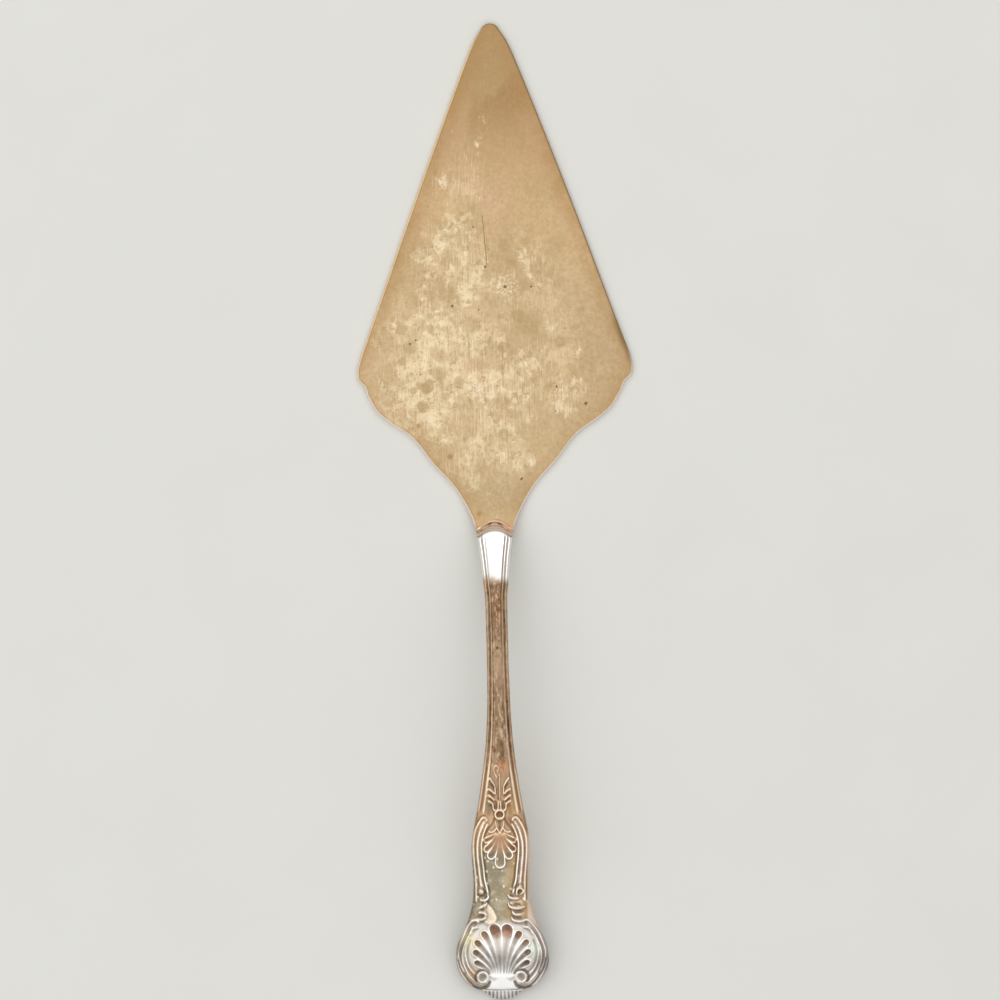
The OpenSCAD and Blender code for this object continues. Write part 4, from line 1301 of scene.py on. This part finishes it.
# %% Edges of the blade, and its material
def blade_edges(f, patch):
    """The bevel along the outline, painted pale as a highlight on the left and at the neck and
    dark as shade on the right, and round the mouth of the handle the tarnish, a painted shadow
    under the arch and the painted highlight and shade of the low step of plate.
    """
    edge, arch = f.attribute("edge"), f.attribute("arch")
    left = f.x.ramp(0.0, -0.006)
    low = f.y.ramp(0.045, 0.035)
    soft = edge.ramp(6.0, 0.4) * patch.ramp(0.42, 0.6, 0.6, 1.0)
    f.paint(soft * low.ramp(0, 1, 0.62, 0.4), (180, 142, 92))
    corner = edge.ramp(1.9, 0.3) * f.spot(34.5, 46.0, 10.0, 0.7)
    f.paint(corner * 0.65, (120, 98, 60))
    line = edge.ramp(0.8, 0.55) * edge.ramp(0.35, 0.5)
    f.paint(line * left.ramp(0, 1, 0.1, 0.35), (150, 112, 78))
    # Painted highlight on the rounded edge, pale on the left and near white at the neck, and
    # painted shade, dark on the right.
    rim = f.mix(low, f.mix(left, (158, 126, 84), (242, 214, 172)), (250, 234, 222))
    bevel = edge.ramp(0.46, 0.24)
    f.paint(bevel * 0.8, rim)
    tarnish = arch.ramp(3.0, 0.4) * patch.ramp(0.38, 0.58, 0.35, 0.9)
    f.paint(tarnish, f.mix(left, (200, 160, 136), (160, 122, 92)))
    # Round the mouth: a painted shadow under the arch, and a painted highlight and painted shade
    # along the edge of the low step of plate.
    crown_part = f.x.ramp(-0.0034, -0.0026) * f.x.ramp(0.0024, 0.0008)
    right_part = f.x.ramp(-0.0012, 0.0004) * f.x.ramp(0.0042, 0.0034)
    broken = f.noise(700, 3).ramp(0.36, 0.5, 0.4, 1.0)
    arch_shadow_line = arch.ramp(0.98, 0.86) * crown_part * broken
    pale_line = arch.ramp(0.9, 1.05) * arch.ramp(1.5, 1.3)
    outer_line = arch.ramp(1.35, 1.5) * arch.ramp(1.85, 1.65) * right_part
    rubbed = f.dash(-4.75, -4.6, 2.0, 0.36, 47) * arch.ramp(4.0, 3.0)
    # Painted highlight on the edge of the step.
    f.paint(pale_line * 0.6, (228, 200, 166))
    # Painted shade just beyond the step, on the right.
    f.paint(outer_line * 0.6, (144, 108, 68))
    # Painted shadow under the arch of the handle.
    f.paint(arch_shadow_line * 0.92, (96, 58, 32))
    f.paint(rubbed * 0.9, (252, 244, 232))
    return 1.0 - bevel * (left | low).ramp(0, 1, 0.2, 0.65)


def blade_finish():
    # The blade's colour holds toned plate and a painted reflection of the room overhead.
    f = Finish("blade_tone_and_painted_reflection")
    f.x, f.y, f.z = f.axes()
    worn = blade_zones(f)
    patch = f.noise(185, 9, 0.72, f.stretched((1, 0.75, 1), (2, 0, 0)), 0.3)
    fleck = f.noise(560, 8, 0.74)
    toned_and_reflected_base(f)
    worn_face(f, worn, patch, fleck)
    drop_marks(f, worn)
    dark_lines = brushed_lines(f, worn)
    contour = abs(f.noise(170, 6, 0.62) - 0.5).ramp(0.008, 0.002)
    crackle = contour * f.noise(110, 3).ramp(0.44, 0.54)
    f.paint(crackle * worn * 0.6, (158, 126, 86))
    underside = f.colour
    stains(f)
    scratches(f)
    holes = rust_and_pits(f)
    f.colour = f.mix(f.z.ramp(0.0006, 0.0009), underside, f.colour)
    metallic = blade_edges(f, patch)
    normal = f.bump(dark_lines * -0.5 + fleck, 0.2, 0.00005)
    normal = f.bump(f.noise(2400, 3, 0.6), 0.15, 0.00002, normal)
    normal = f.bump(holes, 0.6, -0.0002, normal)
    return f.finish(fleck.ramp(0.4, 0.65, 0.4, 0.52), normal, metallic)


blade.data.materials.append(blade_finish())

# %% [markdown]
# ## Finish of the handle
# The handle's ridges are bright silver, its hollows brown. Along the stem the plate is a coppery
# brown, partly worn plate and partly a painted reflection of the warm room overhead, and at the
# shell end it is nearly white, with a painted highlight on the foot. A painted map could hold
# this, but it would have to be drawn over every ridge. Instead two tones are made, one for the
# ground and one for the ridges, each changing along the handle, and the hollowness that the mesh
# carries chooses between them. The ink of the deep hollows, partly painted shade round the root of
# the flutes, and the wear of the rims come last.

# %% Tones of the ground and of the ridges
def stem_tone_and_reflection(f):
    """A mottled brown, partly worn plate and partly a painted reflection of the warm room
    overhead: streaks along it, olive patches, dark and bright flecks.
    """
    streaks = [(0.1, -24.5, 9.2, 2.2, 0.6, (124, 82, 54)),
               (0.1, -30.5, 7.4, 2.2, 0.5, (124, 82, 54)),
               (0.1, -45.5, 7.4, 2.2, 0.35, (124, 82, 54)),
               (-0.4, -26.5, 13.0, 1.4, 0.45, (158, 90, 60)),
               (0.45, -28.2, 7.0, 0.8, 0.6, (232, 190, 156)),
               (0.1, -43.5, 11.0, 3.6, 0.4, (186, 150, 134)),
               (-0.2, -57.5, 16.0, 3.8, 0.45, (140, 116, 80)),
               (0.6, -59.2, 6.0, 0.9, 0.6, (216, 206, 196))]
    streak = f.noise(1, 4, 0.6, f.stretched((420, 95, 170)))
    # The brown is partly worn plate and partly a painted reflection of the warm room overhead.
    f.colour = f.mix(streak.ramp(0.4, 0.6), (150, 122, 96), (190, 160, 130))
    f.paint(f.noise(210, 4, 0.6).ramp(0.5, 0.62, 0, 0.6), (146, 128, 94))
    f.paint(f.x.ramp(0.0002, 0.0009) * f.x.ramp(0.0021, 0.0014) * 0.4, (120, 94, 72))
    for x, y, length, width, strength, tint in streaks:
        f.paint(f.dash(x, y, length, width, soft=0.8) * strength, tint)
    fine = f.noise(1, 5, 0.65, f.stretched((1300, 480, 700), (3, 1, 0)))
    f.paint(fine.ramp(0.53, 0.61, 0, 0.85), (112, 80, 58))
    f.paint(fine.ramp(0.45, 0.37, 0, 0.72), (226, 194, 166))
    f.paint(f.dash(0, -41.0, 24.0, 12.0, soft=0.9) * 0.38, (206, 174, 144))
    f.paint(f.spot(-0.2, -36.6, 0.6, 0.6) * 0.85, (84, 70, 44))
    return f.colour


def ground_tone(f, painted_foot_highlight):
    """Silver at the mouth, brown on the stem, olive at the palmette and pale on the shell, with a
    painted highlight in white on the foot.
    """
    aged = [(-3.1, -79.3, 2.2, 0.75, 132, 126, 106), (2.6, -79.3, 1.9, 0.7, 172, 136, 80),
            (2.4, -82.9, 1.9, 0.7, 118, 82, 66), (-2.4, -73.2, 2.6, 0.5, 146, 130, 102),
            (-0.4, -89.0, 4.2, 0.45, 168, 124, 102), (3.4, -90.0, 2.4, 0.5, 150, 96, 78),
            (-3.0, -70.2, 2.0, 0.5, 150, 128, 90), (2.6, -73.0, 2.0, 0.4, 176, 168, 140)]
    f.colour = f.mix(f.is_stem, (243, 241, 238), stem_tone_and_reflection(f))
    f.paint(f.along.ramp(-0.066, -0.074), (184, 152, 120))
    copper = f.spot(0.9, -68.2, 2.3, 0.95, f.warped(900, 3.0))
    f.paint(copper * f.noise(900, 4, 0.65).ramp(0.42, 0.56) * 0.8, (224, 146, 102))
    olive = f.mix(f.noise(330, 5, 0.62).ramp(0.42, 0.6), (138, 130, 108), (170, 158, 136))
    f.paint(f.along.ramp(-0.086, -0.094), olive)
    ragged_x = f.x + (f.mottled - 0.5) * 0.006
    bronze = ragged_x.ramp(-0.0005, 0.0042) * f.along.ramp(-0.084, -0.092)
    f.paint(bronze * 0.8, (172, 140, 96))
    f.paint_spots(aged, 0.8, f.warped(420, 1.6))
    f.paint(f.along.ramp(-0.1090, -0.1118), (206, 201, 194))
    # Painted highlight: the foot is painted white.
    f.paint(painted_foot_highlight, (254, 254, 253))
    return f.colour


def ridge_tone(f):
    """Bright ridges: warm along the stem, white on the shell, and duller off the middle."""
    f.colour = f.mix(f.is_stem, (250, 248, 244), (208, 180, 151))
    f.paint(f.along.ramp(-0.066, -0.072), (242, 220, 194))
    f.paint(f.along.ramp(-0.084, -0.089), (248, 232, 208))
    middle = abs(f.x).ramp(0.0052, 0.0043)
    f.paint(middle * f.along.ramp(-0.088, -0.093), (250, 246, 240))
    f.paint(f.along.ramp(-0.100, -0.109), (250, 247, 243))
    side = f.mix(f.x.ramp(-0.001, 0.001), (230, 212, 182), (232, 218, 212))
    f.paint(middle.ramp(1.0, 0.0, 0, 0.6) * f.along.ramp(-0.084, -0.090), side)
    return f.colour


# %% Ink in the hollows, and the material
def filled_tone(f):
    """Pale polish that has dried in the corners of the ornament."""
    filled = f.mix(f.x.ramp(0.0, 0.002), (236, 218, 198), (226, 208, 198))
    return f.mix(f.noise(1100, 4, 0.65).ramp(0.5, 0.6, 0, 0.6), filled, (182, 156, 132))


def ink_tone(f):
    """Tarnish: brown on the stem and rusty at the tips of the flutes. Round their root it is grey,
    partly tarnish and partly painted shade in the channels between the ribs.
    """
    brown = f.mix(f.broad.ramp(0.42, 0.6), (138, 94, 68), (120, 100, 68))
    rusty = f.mix(f.mottled.ramp(0.42, 0.56), (176, 120, 88), (132, 90, 64))
    outer_flutes = abs(f.x).ramp(0.003, 0.0055)
    rusty = f.mix(outer_flutes * 0.75, rusty, (136, 114, 84))
    # Grey round the root of the flutes: partly tarnish, partly painted shade in the channels.
    grey = f.mix(f.mottled.ramp(0.4, 0.56), (126, 114, 108), (90, 84, 82))
    ink = f.mix(f.along.ramp(-0.105, -0.110), brown, rusty)
    return f.mix(f.spot(0, -125.0, 10.5, 0.25), ink, grey)


def handle_finish(name):
    f = Finish(name)
    f.x, f.y, f.z = f.axes()
    f.mottled = f.noise(240, 6, 0.62)
    f.broad = f.noise(75, 4, 0.6)
    f.along = f.y + (f.broad - 0.5) * 0.008
    f.is_stem = f.along.ramp(-0.0165, -0.0195)
    wobble = (f.mottled - 0.5) * 0.06
    hollow = f.attribute("hollow") + wobble
    # Tarnish in the hollows, with painted shade round the root of the flutes, as kept on the mesh.
    stain = f.attribute("stain")
    lip = f.attribute("lip")
    # Painted highlight on the foot, which is also made less metallic below.
    painted_foot_highlight = f.spot(0, -126.4, 5.2, 0.4) * lip.ramp(0.3, 0.75)
    ground = ground_tone(f, painted_foot_highlight)
    ridge = ridge_tone(f)
    f.colour = f.mix(hollow.ramp(0.01, 0.09, 0, 0.62), ground, (164, 134, 112), "MULTIPLY")
    f.paint(hollow.ramp(-0.01, -0.078, 0, 0.9), ridge)
    f.paint(f.attribute("pale") * hollow.ramp(0.05, -0.02, 0.25, 0.9), filled_tone(f))
    # Tints of tarnish on the shell. The dark grey spot on its lower right rim is painted shade.
    tarnish_tints_and_painted_shade = [(-8.8, -114.7, 3.4, 0.45, 240, 232, 176),
                  (-8.2, -123.5, 2.2, 0.45, 220, 182, 120),
                  (8.2, -117.8, 3.4, 0.45, 208, 232, 214),
                  (11.2, -121.2, 4.6, 0.7, 128, 122, 118),
                  (-12.2, -117.0, 4.2, 0.6, 146, 136, 124),
                  (-8.4, -126.8, 2.8, 0.5, 150, 112, 86)]
    f.paint_spots(tarnish_tints_and_painted_shade, 0.9)
    f.paint(stain * f.mottled.ramp(0.3, 0.6, 0.65, 1.0), ink_tone(f))
    f.paint((lip + wobble * 6.0).ramp(1.15, 0.75, 0, 0.9), (172, 146, 120))
    away, _ = f.cells(760, f.stretched((1, 0.7, 1)))
    pitted = away.ramp(0.32, 0.14) * f.broad.ramp(0.32, 0.46)
    on_panel = f.along.ramp(-0.088, -0.093) * f.along.ramp(-0.1085, -0.1065)
    f.paint(pitted * on_panel * 0.8, (226, 214, 196))
    waist = f.along.ramp(-0.084, -0.088) * f.along.ramp(-0.1145, -0.1095)
    flank = f.x.ramp(0.0066, 0.0074) * waist
    f.paint(flank * 0.8, (228, 208, 190))
    nose = lip.ramp(0.75, 0.3)
    f.paint(nose * 0.7, (232, 216, 200))
    rough = hollow.ramp(-0.06, 0.08, 0.2, 0.4) + stain * 0.15
    metallic = 1.0 - (flank | nose | painted_foot_highlight) * 0.6
    return f.finish(rough, f.bump(f.mottled, 0.12, 0.00005), metallic)


front.data.materials.append(handle_finish("struck_front_plate"))
back.data.materials.append(handle_finish("struck_back_plate"))

# %% [markdown]
# ## Finish of the solder and the filling
# Solder is filed flush and plated with the rest, but the plate wears off it first, so it is a
# little darker and rougher than its neighbours. The filling is dull resin, which shows nowhere.
# Plain colours could do for such small pieces, but one noise breaks up their shine, and one
# function makes all three.

# %% Solder and filling
def plain_finish(name, colour, darker, rough, metallic):
    f = Finish(name)
    grain = f.noise(600, 5, 0.6)
    f.colour = f.mix(grain.ramp(0.4, 0.65), colour, darker)
    return f.finish(grain.ramp(0.3, 0.7, rough, rough + 0.15), f.bump(grain, 0.3, 0.00005),
                    metallic)


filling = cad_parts["handle_filler"]
filling.data.materials.clear()
for piece, name, colour, darker, rough, metallic in [
        (seam, "seam_metal", (190, 172, 148), (122, 98, 72), 0.4, 1.0),
        (beads, "bead_metal", (222, 192, 164), (164, 128, 98), 0.4, 0.6),
        (filling, "resin_filling", (62, 48, 38), (40, 30, 24), 0.8, 0.0)]:
    piece.data.materials.append(plain_finish(name, colour, darker, rough, metallic))

# %% [markdown]
# ## Table, light and camera
# The photograph was taken from straight above on a pale sheet, with soft light from the window
# side and the room. A sky picture could light the scene, but a bright ceiling that dims towards
# the walls and three large area lights are easier to steer: the window beyond the tip, a fill at
# the foot and the room on the left. The camera looks straight down from far off, so that nothing
# leans, and is turned a little, as the server lies a little askew in the picture.

# %% Table
def pale_table():
    f = Finish("pale_table")
    f.shader.inputs["Specular IOR Level"].default_value = 0.2
    f.colour = f.mix(f.noise(30, 3, 0.5), (229, 229, 225), (224, 224, 219))
    size, drop = 1.6, 0.0001
    corners = [(-size, -size, 0), (size, -size, 0), (size, size, 0), (-size, size, 0)]
    mesh = bpy.data.meshes.new("table_top")
    mesh.from_pydata(corners, [], [(0, 1, 2, 3)])
    mesh.materials.append(f.finish(0.85, None, 0.0))
    table = bpy.data.objects.new("table_top", mesh)
    table.location.z = -drop
    bpy.context.scene.collection.objects.link(table)
    return table


table_top = pale_table()

# %% Lights
def area_light(name, azimuth_deg, elevation_deg, distance, size, radiance, colour=(1, 1, 1)):
    """A soft rectangular light. Azimuth 0 stands at +Y, and 90 at +X."""
    light = bpy.data.lights.new(name, "AREA")
    light.shape = "RECTANGLE"
    light.size, light.size_y = size
    light.energy = radiance * math.pi * size[0] * size[1]
    light.color = colour
    lamp = bpy.data.objects.new(name, light)
    a, e = math.radians(azimuth_deg), math.radians(elevation_deg)
    away = Vector((math.sin(a) * math.cos(e), math.cos(a) * math.cos(e), math.sin(e)))
    lamp.location = away * distance
    lamp.rotation_euler = away.to_track_quat("Z", "Y").to_euler()
    bpy.context.scene.collection.objects.link(lamp)
    print(name, "stands at", [round(v, 2) for v in lamp.location])


area_light("window", 0, 37, 1.1, (1.0, 0.4), 1.15)
area_light("foot_side", 180, 57, 1.1, (0.9, 0.3), 0.8)
area_light("room_left", -75, 45, 1.3, (1.0, 0.9), 0.6, (0.97, 0.99, 1.0))


def soft_room():
    """A room that is bright overhead and dims towards the horizon."""
    world = bpy.data.worlds.new("soft_room")
    world.use_nodes = True
    tree = world.node_tree
    background = tree.nodes["Background"]
    background.inputs["Color"].default_value = (1.0, 0.99, 0.97, 1)
    place = tree.nodes.new("ShaderNodeTexCoord")
    parts = tree.nodes.new("ShaderNodeSeparateXYZ")
    height = tree.nodes.new("ShaderNodeMapRange")
    height.interpolation_type = "SMOOTHSTEP"
    for key, value in [("From Min", 0.1), ("From Max", 0.85), ("To Min", 0.35), ("To Max", 0.95)]:
        height.inputs[key].default_value = value
    tree.links.new(place.outputs["Generated"], parts.inputs["Vector"])
    tree.links.new(parts.outputs["Z"], height.inputs["Value"])
    tree.links.new(height.outputs["Result"], background.inputs["Strength"])
    return world


bpy.context.scene.world = soft_room()
bpy.context.scene.view_settings.view_transform = "Standard"

# %% Camera
photo_px = 1000
tip_px = (489.5, 23.5)
foot_px = (503.0, 999.0)
server_px = math.dist(tip_px, foot_px)
px_mm = (tip_y - foot_y) / server_px
turn = math.atan2(foot_px[0] - tip_px[0], foot_px[1] - tip_px[1])
right = Vector((math.cos(turn), -math.sin(turn)))
up = Vector((math.sin(turn), math.cos(turn)))
shift_right = (photo_px / 2 - (tip_px[0] + foot_px[0]) / 2) * px_mm
shift_up = ((tip_px[1] + foot_px[1]) / 2 - photo_px / 2) * px_mm
aim = right * shift_right + up * shift_up + Vector((0, (tip_y + foot_y) / 2))
camera_height = 6.0
camera_data = bpy.data.cameras.new("camera")
camera_data.sensor_width = 36.0
camera_data.lens = camera_data.sensor_width * camera_height / (photo_px * px_mm * MM)
camera_data.clip_end = 20
camera = bpy.data.objects.new("camera", camera_data)
camera.location = (aim.x * MM, aim.y * MM, camera_height)
camera.rotation_euler = (0, 0, -turn)
bpy.context.scene.collection.objects.link(camera)
bpy.context.scene.camera = camera
print(f"camera {camera_height} m up, lens {camera_data.lens:.0f} mm, {px_mm:.4f} mm to a pixel")
